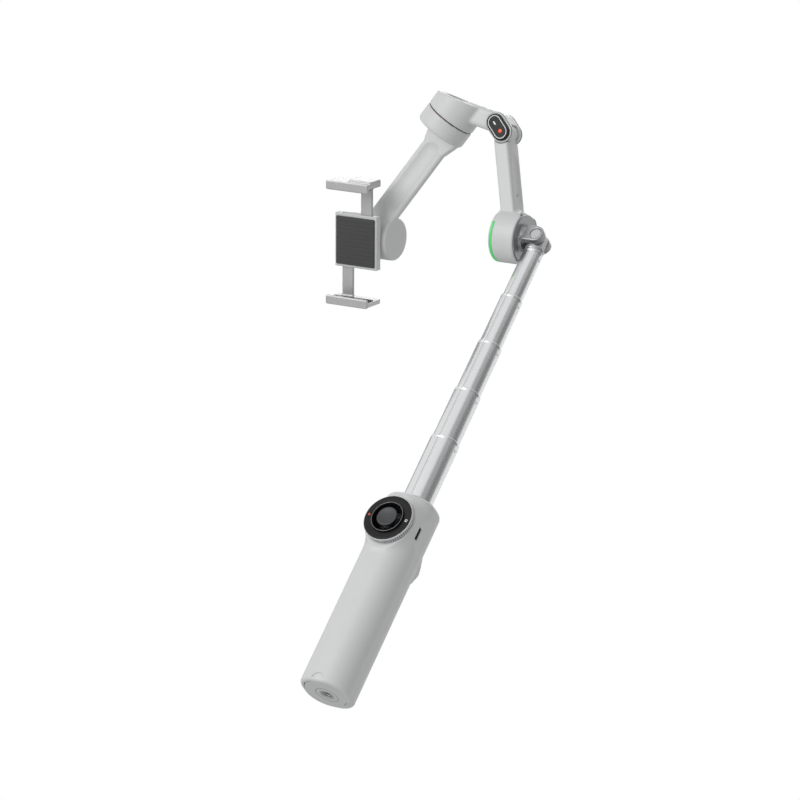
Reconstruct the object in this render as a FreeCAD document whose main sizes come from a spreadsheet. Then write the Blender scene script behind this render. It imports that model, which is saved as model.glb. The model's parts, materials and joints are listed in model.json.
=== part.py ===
import FreeCAD, Part
import math
import os

import Sketcher
from FreeCAD import Placement, Rotation, Vector

# Folding phone gimbal with a five-stage extension rod, in millimetres.
# +Z runs up the handle and the rod, -Y is the side with the control dial, and the origin is the
# mouth of the tripod thread, in the middle of the handle's bottom face.

doc = FreeCAD.newDocument("GimbalStabilizer")
dims = doc.addObject("Spreadsheet::Sheet", "dims")

sizes = {
    # handle
    "handleLength": 145, "handleHalfWidth": 18, "handleFront": 18.4, "handleBack": 17.2,
    "handleCorner": 15.5, "handleWall": 2, "handleBottomRound": 2.4, "handleTopRound": 4,
    "handleSplit": 8, "bulkheadHeight": 62, "bulkheadThick": 2.5, "seamGap": 0.1, "shellGap": 0.1,
    "notchRadius": 5.5, "notchDeep": 1.2, "neckWall": 1,
    # tripod that slides out of the bottom
    "footRadius": 15.8, "footThick": 4, "slideGap": 0.3, "columnRadius": 11.2, "columnWall": 1,
    "tripodLength": 60, "threadRadius": 3.175, "insertRadius": 5, "insertLength": 7,
    "screwRadius": 0.9, "screwAcross": 12.2, "screwNear": 5.4, "screwFar": 9.8, "fitGap": 0.02,
    "screwLow": 69, "screwHigh": 108, "bossHalf": 2, "slitAcross": 13, "slitHalf": 2.6, "slitDeep": 0.6,
    # battery and electronics
    "cellRadius": 9, "cellLength": 50, "boardThick": 1.2,
    # control pod
    "dialHeight": 120.4, "podRadius": 17.4, "podFace": 19.2, "dialRadius": 17, "dialThick": 3,
    "panelRadius": 16.4, "panelThick": 1.1, "hubRadius": 11.2, "hubWall": 1, "bezelRise": 2,
    "hubDepth": 10.2, "stickRadius": 7.1, "stickPivot": 16, "trunnionRadius": 0.94, "trunnionGap": 0.06,
    "crossHalf": 4.2, "crossWall": 1.5, "postNear": 4.6, "postFar": 6.4, "stickBall": 2.2, "stemRadius": 1.6,
    # trigger and port
    "triggerHalf": 9.2, "triggerLow": 97, "triggerHigh": 125, "triggerReach": 25.3, "triggerPivot": 13,
    "triggerPinRadius": 1, "triggerPinDrop": 3, "triggerBack": 5.4, "triggerSkin": 2.4,
    "portHeight": 119.5, "portFront": 10.5, "portHalf": 4.5, "portThick": 3.2, "portDepth": 7.1,
    # extension rod
    "rodRadius": 10, "rodStep": 0.8, "rodWall": 0.5, "sleeveGap": 0.3, "sleeveWall": 1,
    "rodFirst": 195.9, "rodReach": 38.8, "rodBase": 114, "rodOverlap": 39,
    # tilt hinge on top of the rod
    "pivotHeight": 361.4, "pinRadius": 2.5, "pinGap": 0.06, "tongueHalf": 2.9, "tongueRadius": 5.3,
    "earInner": 3.2, "earOuter": 8.6, "earRadius": 5.9, "kneeGap": 7.6,
    # motors
    "motorRadius": 18, "motorWall": 1.6, "motorGap": 0.3, "windingDepth": 5, "hubBore": 5.5,
    "hubRim": 2.5, "motorShelf": 1.4, "ledNear": 27.1, "ledFar": 28.9, "ledDeep": 0.8, "ledTurn": 27,
    "ledArc": 111,
    "shaftRadius": 3, "shaftGap": 0.05, "magnetDepth": 4.5, "discThick": 2,
    "panNear": 11, "panFar": 30.2, "panOrigin": 18.5, "panFloor": 5.5, "panRoof": 7.5,
    "deepFloor": 8, "deepRoof": 10.2,
    # arms
    "armTurn": 120, "armLean": 16.5, "armFoot": -19, "armHalfWidth": 5.3, "armHalfDepth": 8.3,
    "foldAcross": -37.6, "foldUp": 68.9, "foldPinRadius": 2, "blockRadius": 7.3, "blockLong": 8.3,
    "eyeRadius": 6.3, "mouthSpare": 41, "coverNear": 21, "coverFar": 55, "coverHalf": 6, "coverDeep": 0.6,
    "blockTurn": 134.4, "capRadius": 6, "capDeep": 2.2, "tongueThick": 4, "slotGap": 0.2,
    "linkTurn": 168.4, "linkHalf": 7, "rollAcross": -83.5, "rollUp": 75, "rollTurn": 31.7,
    "roofTurn": 16.1, "roofHeight": 15.1, "rollDrumDepth": 12.5, "roofCapRadius": 10.2, "roofCapDeep": 2.6,
    "shoulderHalf": 14.5, "shoulderLength": 12, "panelHalf": 7.4, "panelDeep": 0.7, "panelStart": 9,
    "panelEnd": 80,
    "beamHalf": 10, "beamNear": 4.7, "beamFar": 10.1, "beamLength": 97,
    # phone clamp
    "clampAcross": -139.2, "clampForward": -0.16, "clampHeight": 338.6, "clampTurn": 137.3,
    "tiltBack": 27, "tiltRadius": 15, "tiltSeam": 2, "tiltEnd": 20.2, "tiltStart": 17.8,
    "phoneHalf": 38.8, "phoneThick": 8.25, "padThick": 0.8, "jawHalf": 17, "jawWall": 3.4,
    "lipThick": 2, "lipReach": 1.6, "baseNear": 6, "baseFar": 11.5, "barNear": 7.4, "barFar": 9.8,
    "barInner": 3, "barOuter": 12, "pinionRadius": 2.9, "pinionPinRadius": 0.84,
}
for row, (name, value) in enumerate(sizes.items(), start=1):
    dims.set(f"A{row}", name)
    dims.set(f"B{row}", str(value))
    dims.setAlias(f"B{row}", name)
doc.recompute()

pieces = []
inX = Rotation(Vector(0, 1, 0), 90)       # a local Z axis laid along +X
inY = Rotation(Vector(1, 0, 0), -90)      # a local Z axis laid along +Y
upright = Rotation()
axisRotation = {"x": inX, "y": inY, "z": upright}


def value(name):
    return float(dims.get(name))


def expression(text):
    """Sheet names in a size become references to the sheet's cells."""
    words = "".join(c if c.isalnum() else " " for c in str(text)).split()
    result = str(text)
    for word in sorted(set(words) & set(sizes), key=len, reverse=True):
        result = result.replace(word, "dims." + word)
    return result


def bind(item, prop, text):
    item.setExpression(prop, expression(text))


def block(name, x, y, z):
    """A box between two limits on each axis."""
    item = doc.addObject("Part::Box", name)
    for (low, high), edge, axis in zip((x, y, z), ("Length", "Width", "Height"), "xyz"):
        bind(item, edge, f"({high}) - ({low})")
        bind(item, "Placement.Base." + axis, low)
    return item


def drum(name, radius, span, axis="z", at=("0", "0")):
    """A cylinder along one axis between two limits; at is its centre on the other two axes."""
    item = doc.addObject("Part::Cylinder", name)
    item.Placement = Placement(Vector(), axisRotation[axis])
    bind(item, "Radius", radius)
    bind(item, "Height", f"({span[1]}) - ({span[0]})")
    bind(item, "Placement.Base." + axis, span[0])
    for other, place in zip([a for a in "xyz" if a != axis], at):
        bind(item, "Placement.Base." + other, place)
    return item


def join(name, *parts, merged=True):
    """One solid from several; merged drops the seams between faces that lie on one surface."""
    item = doc.addObject("Part::MultiFuse", name)
    item.Shapes = list(parts)
    item.Refine = merged
    return item


def cut(name, base, *tools):
    """The base with each tool taken away in turn."""
    for left, tool in zip(range(len(tools) - 1, -1, -1), tools):
        item = doc.addObject("Part::Cut", name + (f"Step{left}" if left else ""))
        item.Base = base
        item.Tool = tool
        base = item
    return item


def common(name, first, second):
    item = doc.addObject("Part::Common", name)
    item.Base = first
    item.Tool = second
    return item


def ring(name, outer, inner, span, axis="z", at=("0", "0")):
    wide = drum(name + "Disc", outer, span, axis, at)
    bore = drum(name + "Bore", inner, (f"({span[0]}) - 1", f"({span[1]}) + 1"), axis, at)
    return cut(name, wide, bore)


def roundEdges(body, feature, name, radius, test):
    """A fillet on the edges of the feature that pass the test."""
    doc.recompute()
    chosen = [f"Edge{i + 1}" for i, edge in enumerate(feature.Shape.Edges) if test(edge)]
    fillet = body.newObject("PartDesign::Fillet", name)
    fillet.Base = (feature, chosen)
    bind(fillet, "Radius", radius)
    return fillet


def softBlock(name, x, y, z, corner, low=None, high=None):
    """A bar whose upright corners are round, and whose two ends may be."""
    body = doc.addObject("PartDesign::Body", name)
    item = body.newObject("PartDesign::AdditiveBox", name + "Bar")
    for (start, end), edge, axis in zip((x, y, z), ("Length", "Width", "Height"), "xyz"):
        bind(item, edge, f"({end}) - ({start})")
        bind(item, "Placement.Base." + axis, start)
    item = roundEdges(body, item, name + "Corners", corner, isUpright)
    doc.recompute()
    box = item.Shape.BoundBox
    if low:
        item = roundEdges(body, item, name + "Low", low, lambda e: onLevel(e, box.ZMin))
    if high:
        item = roundEdges(body, item, name + "High", high, lambda e: onLevel(e, box.ZMax))
    return body


def softDrum(name, radius, span, low=None, high=None):
    """A cylinder along Z whose rims may be round."""
    body = doc.addObject("PartDesign::Body", name)
    item = body.newObject("PartDesign::AdditiveCylinder", name + "Drum")
    bind(item, "Radius", radius)
    bind(item, "Height", f"({span[1]}) - ({span[0]})")
    bind(item, "Placement.Base.z", span[0])
    doc.recompute()
    box = item.Shape.BoundBox
    if low:
        item = roundEdges(body, item, name + "Low", low, lambda e: onLevel(e, box.ZMin))
    if high:
        item = roundEdges(body, item, name + "High", high, lambda e: onLevel(e, box.ZMax))
    return body


def isUpright(edge):
    return edge.BoundBox.ZLength > 0.01 and max(edge.BoundBox.XLength, edge.BoundBox.YLength) < 1e-4


def onLevel(edge, level):
    return abs(edge.BoundBox.ZMin - level) < 1e-4 and abs(edge.BoundBox.ZMax - level) < 1e-4


def outline(name, points, span, rounding=None):
    """A closed outline in XY, padded along Z between two limits, with its upright edges rounded."""
    body = doc.addObject("PartDesign::Body", name)
    sketch = body.newObject("Sketcher::SketchObject", name + "Sketch")
    plane = [o for o in body.Origin.OriginFeatures if o.Role == "XY_Plane"][0]
    sketch.AttachmentSupport = [(plane, "")]
    sketch.MapMode = "FlatFace"
    count = len(points)
    start = [Vector(10 * math.cos(2 * math.pi * i / count), 10 * math.sin(2 * math.pi * i / count), 0)
             for i in range(count)]
    for i in range(count):
        sketch.addGeometry(Part.LineSegment(start[i], start[(i + 1) % count]), False)
    for i in range(count):
        sketch.addConstraint(Sketcher.Constraint("Coincident", i, 2, (i + 1) % count, 1))
    for i, point in enumerate(points):
        for kind, text, now in zip(("DistanceX", "DistanceY"), point, (start[i].x, start[i].y)):
            index = sketch.addConstraint(Sketcher.Constraint(kind, -1, 1, i, 1, now))
            bind(sketch, f"Constraints[{index}]", text)
    bind(sketch, "AttachmentOffset.Base.z", span[0])
    pad = body.newObject("PartDesign::Pad", name + "Pad")
    pad.Profile = sketch
    bind(pad, "Length", f"({span[1]}) - ({span[0]})")
    if rounding:
        roundEdges(body, pad, name + "Round", rounding, isUpright)
    return body


def turned(item, placement):
    item.Placement = placement.multiply(item.Placement)
    return item


def node(label, frame, *parts):
    """The finished sub-part, put in its place."""
    item = doc.addObject("Part::Compound", "node_" + label)
    item.Label = label
    item.Links = list(parts)
    item.Placement = frame
    pieces.append(item)
    return item


# Frames
handleFrame = Placement()
pivotFrame = Placement(Vector(0, 0, value("pivotHeight")), upright)
# the arm plane: X across, Y outwards from the pan axis, Z towards the front
armFrame = pivotFrame.multiply(Placement(Vector(), Rotation(Vector(1, 0, 0), value("armTurn"))))
# the pan motor: Z along the pan axis, away from the rod
panFrame = armFrame.multiply(Placement(Vector(), Rotation(Vector(0, 1, 0), -90)))
armInPan = Placement(Vector(), Rotation(Vector(0, 1, 0), 90))
leanInArm = Placement(Vector(value("armFoot"), 0, 0), Rotation(Vector(0, 0, 1), value("armLean")))
foldInArm = Placement(Vector(value("foldAcross"), value("foldUp"), 0),
                      Rotation(Vector(0, 0, 1), value("blockTurn")))
foldFrame = armFrame.multiply(foldInArm)
# the roll motor: Z along the roll axis towards the phone, Y towards the front
rollInArm = Placement(Vector(value("rollAcross"), value("rollUp"), 0),
                      Rotation(Vector(0, 0, 1), -value("rollTurn"))).multiply(
                          Placement(Vector(), Rotation(Vector(1, 0, 0), 90)))
rollFrame = armFrame.multiply(rollInArm)
# the phone clamp: X along the phone, Y across it, Z out of its screen
clampFrame = Placement(Vector(value("clampAcross"), -value("clampForward"), value("clampHeight")),
                       Rotation(Vector(1, 0, 0), value("clampTurn")))
tiltFrame = clampFrame.multiply(Placement(Vector(value("tiltSeam"), 0, -value("tiltBack")),
                                          Rotation(Vector(0, 1, 0), -90)))


# Handle
triggerAxis = ("triggerPivot", "triggerHigh - triggerPinDrop")


def makeHandle():
    wall = "handleWall"
    outer = softBlock("handleOuter", ("-handleHalfWidth", "handleHalfWidth"),
                      ("-handleFront", "handleBack"), ("0", "handleLength"), "handleCorner",
                      "handleBottomRound", "handleTopRound")
    inner = softBlock("handleInner", (f"{wall} - handleHalfWidth", f"handleHalfWidth - {wall}"),
                      (f"{wall} - handleFront", f"handleBack - {wall}"),
                      ("bulkheadHeight", f"handleLength - {wall} - 1"), f"handleCorner - {wall}")
    bore = drum("tripodBore", "footRadius + slideGap", ("-1", "bulkheadHeight + 1"))
    neck = drum("rodNeck", "rodRadius + sleeveGap + sleeveWall + neckWall",
                ("handleLength - 10", "handleLength + 1"))
    pod = drum("pod", "podRadius", ("-podFace", "-5"), "y", ("0", "dialHeight"))
    podBore = drum("podBore", "hubRadius + slideGap", ("-podFace - 1", "-10"), "y", ("0", "dialHeight"))
    podRoom = drum("podRoom", "podRadius - handleWall", ("handleWall - podFace", "-5"), "y",
                   ("0", "dialHeight"))
    port = block("portHole", ("10", "handleHalfWidth + 1"),
                 ("-portFront - portThick/2", "-portFront + portThick/2"),
                 ("portHeight - portHalf", "portHeight + portHalf"))
    notch = drum("thumbNotch", "notchRadius", ("-handleFront - 1", "notchDeep - handleFront"), "y",
                 ("0", "1"))
    solid = join("handleSolid", outer, pod)
    hollow = cut("handleShell", solid, inner, bore, neck, podBore, podRoom, port, notch)
    bosses = []
    screws = []
    corners = [(side, level) for level in ("screwLow", "screwHigh") for side in (-1, 1)]
    for i, (side, level) in enumerate(corners):
        at = (f"{side} * screwAcross", level)
        across = (f"{side} * (screwAcross - 1.8)", f"{side} * (screwAcross + 2.8)")[::side]
        solid = block(f"screwBoss{i}", across, ("screwNear - 0.4", "screwFar + 0.4"),
                      (f"{level} - bossHalf", f"{level} + bossHalf"))
        hole = drum(f"screwHole{i}", "screwRadius + fitGap", ("screwNear", "screwFar"), "y", at)
        bosses.append(cut(f"drilledBoss{i}", solid, hole))
        screws.append(drum(f"shellScrew{i}", "screwRadius", ("screwNear", "screwFar"), "y", at))
    node("handle_screws", handleFrame, *screws)
    ahead = block("frontSide", ("-40", "40"), ("-40", "handleSplit"), ("-10", "handleLength + 10"))
    frontBosses = [common(f"frontBoss{i}", boss, ahead) for i, boss in enumerate(bosses)]
    node("handle_front_shell", handleFrame,
         join("frontShell", common("frontHalf", hollow, ahead), *frontBosses, merged=False))
    behind = block("backSide", ("-40", "40"), ("handleSplit + seamGap", "40"), ("-10", "handleLength + 10"))
    window = block("triggerWindow", ("-triggerHalf - slideGap", "triggerHalf + slideGap"),
                   ("handleBack - triggerBack - 0.6", "handleBack + 1"),
                   ("triggerLow - 1.4", "triggerHigh + 0.6"))
    ledges = []
    for i, (low, high) in enumerate((("-triggerHalf - 2", "-triggerHalf - slideGap"),
                                     ("triggerHalf + slideGap", "triggerHalf + 2"))):
        ledge = block(f"ledgeBlock{i}", (low, high), ("triggerPivot - 1.4", "triggerPivot + 1.4"),
                      ("triggerHigh - 5", "triggerHigh - 1"))
        hole = drum(f"ledgeHole{i}", "triggerPinRadius + fitGap", ("-20", "20"), "x", triggerAxis)
        ledges.append(cut(f"pinLedge{i}", ledge, hole))
    pinHole = drum("pinHole", "triggerPinRadius + fitGap", ("-20", "20"), "x", triggerAxis)
    opened = cut("backOpened", common("backHalf", hollow, behind), window, pinHole)
    backBosses = [common(f"backBoss{i}", boss, behind) for i, boss in enumerate(bosses)]
    node("handle_back_shell", handleFrame, join("backShell", opened, *backBosses, *ledges, merged=False))

    node("handle_top_cap", handleFrame,
         ring("topCap", "rodRadius + sleeveGap + sleeveWall + 0.95", "rodRadius + sleeveGap",
              ("handleLength - 3", "handleLength + 0.3")))
    sleeve = ring("sleeveTube", "rodRadius + sleeveGap + sleeveWall", "rodRadius + sleeveGap",
                  ("bulkheadHeight + bulkheadThick", "handleLength - 3"))
    inset = "(handleWall + shellGap)"
    plate = softBlock("bulkhead", (f"{inset} - handleHalfWidth", f"handleHalfWidth - {inset}"),
                      (f"{inset} - handleFront", f"handleBack - {inset}"),
                      ("bulkheadHeight + shellGap", "bulkheadHeight + bulkheadThick"),
                      f"handleCorner - {inset}")
    node("rod_sleeve", handleFrame, join("sleeve", sleeve, plate))
    cellTop = "bulkheadHeight + shellGap"
    cell = join("cell", drum("cellCan", "cellRadius", (f"{cellTop} - cellLength", cellTop)),
                drum("cellTip", "3", (f"{cellTop} - cellLength - 1", f"{cellTop} - cellLength + 1")))
    node("battery_cell", handleFrame, cell)
    back = "rodRadius + sleeveGap + sleeveWall + 0.3"
    board = block("board", ("-9", "9"), (back, f"{back} + boardThick"), ("70", "triggerLow - 4"))
    chips = [block(f"chip{i}", (str(7 * i - 6), str(7 * i - 1)),
                   (f"{back} + boardThick", f"{back} + boardThick + 1.2"), ("74", "82")) for i in range(2)]
    node("main_board", handleFrame, join("boardAndChips", board, *chips))
    shell = block("portShell", ("handleHalfWidth - 0.5 - portDepth", "handleHalfWidth - 0.5"),
                  ("shellGap - portFront - portThick/2", "-shellGap - portFront + portThick/2"),
                  ("portHeight - portHalf + shellGap", "portHeight + portHalf - shellGap"))
    room = block("portRoom", ("handleHalfWidth + 0.5 - portDepth", "handleHalfWidth"),
                 ("0.4 - portFront - portThick/2", "-0.4 - portFront + portThick/2"),
                 ("portHeight - portHalf + 0.5", "portHeight + portHalf - 0.5"))
    tongue = block("portTongue", ("handleHalfWidth - portDepth", "handleHalfWidth - 1.2"),
                   ("-portFront - 0.35", "-portFront + 0.35"),
                   ("portHeight - portHalf + 1.3", "portHeight + portHalf - 1.3"))
    node("usb_port", handleFrame, join("port", cut("portCan", shell, room), tongue))


def makeTripod():
    foot = softDrum("footDisc", "footRadius", ("0", "footThick"), "0.8")
    column = ring("column", "columnRadius", "columnRadius - columnWall", ("footThick", "tripodLength - 2"))
    collar = ring("columnCollar", "footRadius", "columnRadius - columnWall",
                  ("tripodLength - 3", "tripodLength"))
    boss = drum("threadBoss", "insertRadius + 2", ("footThick", "insertLength"))
    bore = drum("insertBore", "insertRadius", ("-1", "insertLength + 1"))
    slit = doc.addObject("Part::Compound", "footSlit")
    slit.Links = [block("footSlitBar", ("-slitHalf", "slitHalf"), ("slitAcross", "slitAcross + 0.5"),
                        ("-1", "slitDeep"))]
    slit.Placement = Placement(Vector(), Rotation(Vector(0, 0, 1), 35 - 90))
    solid = join("tripodSolid", foot, column, collar, boss)
    node("tripod_base", handleFrame, cut("tripodBase", solid, bore, slit))
    node("thread_insert", handleFrame,
         ring("threadInsert", "insertRadius - fitGap", "threadRadius", ("0", "insertLength")))
    legs = []
    for i in range(3):
        band = ring(f"legBand{i}", "footRadius - 0.3", "columnRadius + 0.2",
                    ("footThick + 0.2", "tripodLength - 3.2"))
        gaps = []
        for k in range(2):
            wedge = doc.addObject("Part::Cylinder", f"legSector{i}{k}")
            wedge.Radius = 30
            wedge.Height = 80
            wedge.Angle = 122
            wedge.Placement = Placement(Vector(), Rotation(Vector(0, 0, 1), 120 * i + 116 + 122 * k))
            gaps.append(wedge)
        legs.append(cut(f"leg{i}", band, *gaps))
    node("tripod_legs", handleFrame, *legs)


# Controls
def makeControls():
    centre = ("0", "dialHeight")
    dialBack = "-podFace - slideGap"
    dialFront = f"{dialBack} - dialThick"
    node("zoom_dial", handleFrame,
         ring("dial", "dialRadius", "hubRadius + slideGap", (dialFront, dialBack), "y", centre))
    panelBack = f"{dialFront} - slideGap"
    panelFront = f"{panelBack} - panelThick"
    face = ring("panelFace", "panelRadius", "hubRadius - hubWall", (panelFront, panelBack), "y", centre)
    hub = ring("panelHub", "hubRadius", "hubRadius - hubWall", (panelBack, f"{panelBack} + hubDepth"),
               "y", centre)
    node("control_panel", handleFrame, join("panel", face, hub))
    rimOuter = drum("bezelOuter", "hubRadius", (f"{panelFront} - bezelRise", panelFront), "y", centre)
    rimInner = drum("bezelInner", "hubRadius - hubWall",
                    (f"{panelFront} - bezelRise - 1", f"{panelFront} + 1"), "y", centre)
    node("joystick_bezel", handleFrame, cut("bezel", rimOuter, rimInner))
    base = drum("moduleBase", "hubRadius - hubWall - 0.1", ("-13.4", "-11.9"), "y", centre)
    posts = []
    for i, across in enumerate((("-postFar", "-postNear"), ("postNear", "postFar"))):
        posts.append(block(f"modulePost{i}", across, ("-stickPivot - 1.6", "-13"),
                           ("dialHeight - 1.6", "dialHeight + 1.6")))
    holes = drum("postHoles", "trunnionRadius + trunnionGap", ("-8", "8"), "x", ("-stickPivot", "dialHeight"))
    node("joystick_module", handleFrame, cut("module", join("moduleSolid", base, *posts), holes))

    frame = block("crossBlock", ("-crossHalf", "crossHalf"), ("-stickPivot - 1.3", "-stickPivot + 1.3"),
                  ("dialHeight - crossHalf", "dialHeight + crossHalf"))
    inside = "(crossHalf - crossWall)"
    opening = block("crossOpening", (f"-{inside}", inside), ("-30", "-5"),
                    (f"dialHeight - {inside}", f"dialHeight + {inside}"))
    pinHole = drum("crossHoles", "trunnionRadius + trunnionGap", ("dialHeight - 8", "dialHeight + 8"), "z",
                   ("0", "-stickPivot"))
    ends = [drum(f"crossPin{i}", "trunnionRadius", span, "x", ("-stickPivot", "dialHeight"))
            for i, span in enumerate((("-postFar", "0.2 - crossHalf"), ("crossHalf - 0.2", "postFar")))]
    node("joystick_cross", handleFrame, join("cross", cut("crossFrame", frame, opening, pinHole), *ends))
    capBack = f"{panelFront} + 0.6"
    cap = drum("stickCap", "stickRadius", (f"{capBack} - 2.4", capBack), "y", centre)
    stem = drum("stickStem", "stemRadius", (capBack, "-stickPivot"), "y", centre)
    ball = doc.addObject("Part::Sphere", "stickBall")
    bind(ball, "Radius", "stickBall")
    bind(ball, "Placement.Base.y", "-stickPivot")
    bind(ball, "Placement.Base.z", "dialHeight")
    bar = drum("stickBar", "trunnionRadius",
               ("dialHeight + 0.1 - crossHalf", "dialHeight - 0.1 + crossHalf"), "z", ("0", "-stickPivot"))
    node("joystick_cap", handleFrame, join("stick", cap, stem, ball, bar))

    # the trigger's outline lies in the YZ plane, so it is drawn in XY and stood up
    stand = Placement(Vector(), Rotation(Vector(1, 1, 1), 120))
    lever = (("handleBack - triggerBack", "triggerHigh - 0.6"), ("handleBack + 1", "triggerHigh"),
             ("triggerReach - 1", "triggerLow + 15"), ("triggerReach", "triggerLow + 11"),
             ("triggerReach - 4", "triggerLow + 2"), ("handleBack - triggerSkin", "triggerLow"),
             ("handleBack - triggerSkin", "triggerHigh - 8"),
             ("handleBack - triggerBack", "triggerHigh - 6.5"))
    shape = outline("triggerOutline", lever, ("-triggerHalf", "triggerHalf"), "0.8")
    turned(shape, stand)
    pinHole = drum("triggerBore", "triggerPinRadius + pinGap", ("-20", "20"), "x", triggerAxis)
    node("trigger", handleFrame, cut("triggerLever", shape, pinHole))
    pin = drum("triggerAxle", "triggerPinRadius", ("-triggerHalf - 2", "triggerHalf + 2"), "x", triggerAxis)
    node("trigger_pin", handleFrame, pin)
    switch = block("switchCan", ("-3", "3"), ("rodRadius + sleeveGap + sleeveWall", "handleBack - 5"),
                   ("triggerLow + 2", "triggerLow + 8"))
    node("trigger_switch", handleFrame, switch)


# Extension rod
def makeRod():
    for stage in range(5):
        outer = f"rodRadius - {stage} * rodStep"
        top = f"rodFirst + {stage} * rodReach"
        bottom = "rodBase" if stage == 0 else f"rodFirst + {stage - 1} * rodReach - rodOverlap"
        tube = ring(f"stage{stage + 1}", outer, f"{outer} - rodWall", (bottom, top))
        node(f"rod_stage_{stage + 1}", handleFrame, tube)
    last = "(rodRadius - 4 * rodStep)"
    top = "(rodFirst + 4 * rodReach)"
    plug = drum("tipPlug", f"{last} - rodWall", (f"{top} - 12", top))
    cap = drum("tipCap", last, (top, "pivotHeight - kneeGap"))
    neck = block("tipNeck", ("-tongueRadius", "tongueRadius"), ("-tongueHalf", "tongueHalf"),
                 ("pivotHeight - kneeGap - 1", "pivotHeight"))
    head = drum("tipHead", "tongueRadius", ("-tongueHalf", "tongueHalf"), "y", ("0", "pivotHeight"))
    bore = drum("tipBore", "pinRadius + pinGap", ("-20", "20"), "y", ("0", "pivotHeight"))
    node("rod_tip", handleFrame, cut("tip", join("tipSolid", plug, cap, neck, head), bore))


# Motors
def makeMotor(name, frame, housing, floor, low, roof):
    """Windings and bearings on the fixed side, magnets and shaft on the turning side."""
    hub = ring(name + "Hub", "hubBore + hubRim", "hubBore", (f"-({floor})", f"{roof} - 2"))
    winding = ring(name + "Winding", f"{housing} - windingDepth", "hubBore + hubRim - 0.1",
                   (low, f"{roof} - 1.6"))
    node(name + "_windings", frame, join(name + "Stator", hub, winding))
    bearings = [ring(f"{name}Bearing{end}", "hubBore - fitGap", "shaftRadius + shaftGap", span)
                for end, span in enumerate(((f"0.5 - ({floor})", f"3.5 - ({floor})"),
                                            (f"{roof} - 5.5", f"{roof} - 2.5")))]
    node(name + "_bearings", frame, *bearings)
    node(name + "_shaft", frame, drum(name + "Shaft", "shaftRadius", (f"0.4 - ({floor})", roof)))
    node(name + "_magnets", frame, ring(name + "Magnets", f"{housing} - motorWall - 0.05",
                                        f"{housing} - magnetDepth", (low, f"{roof} - 0.6")))


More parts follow.
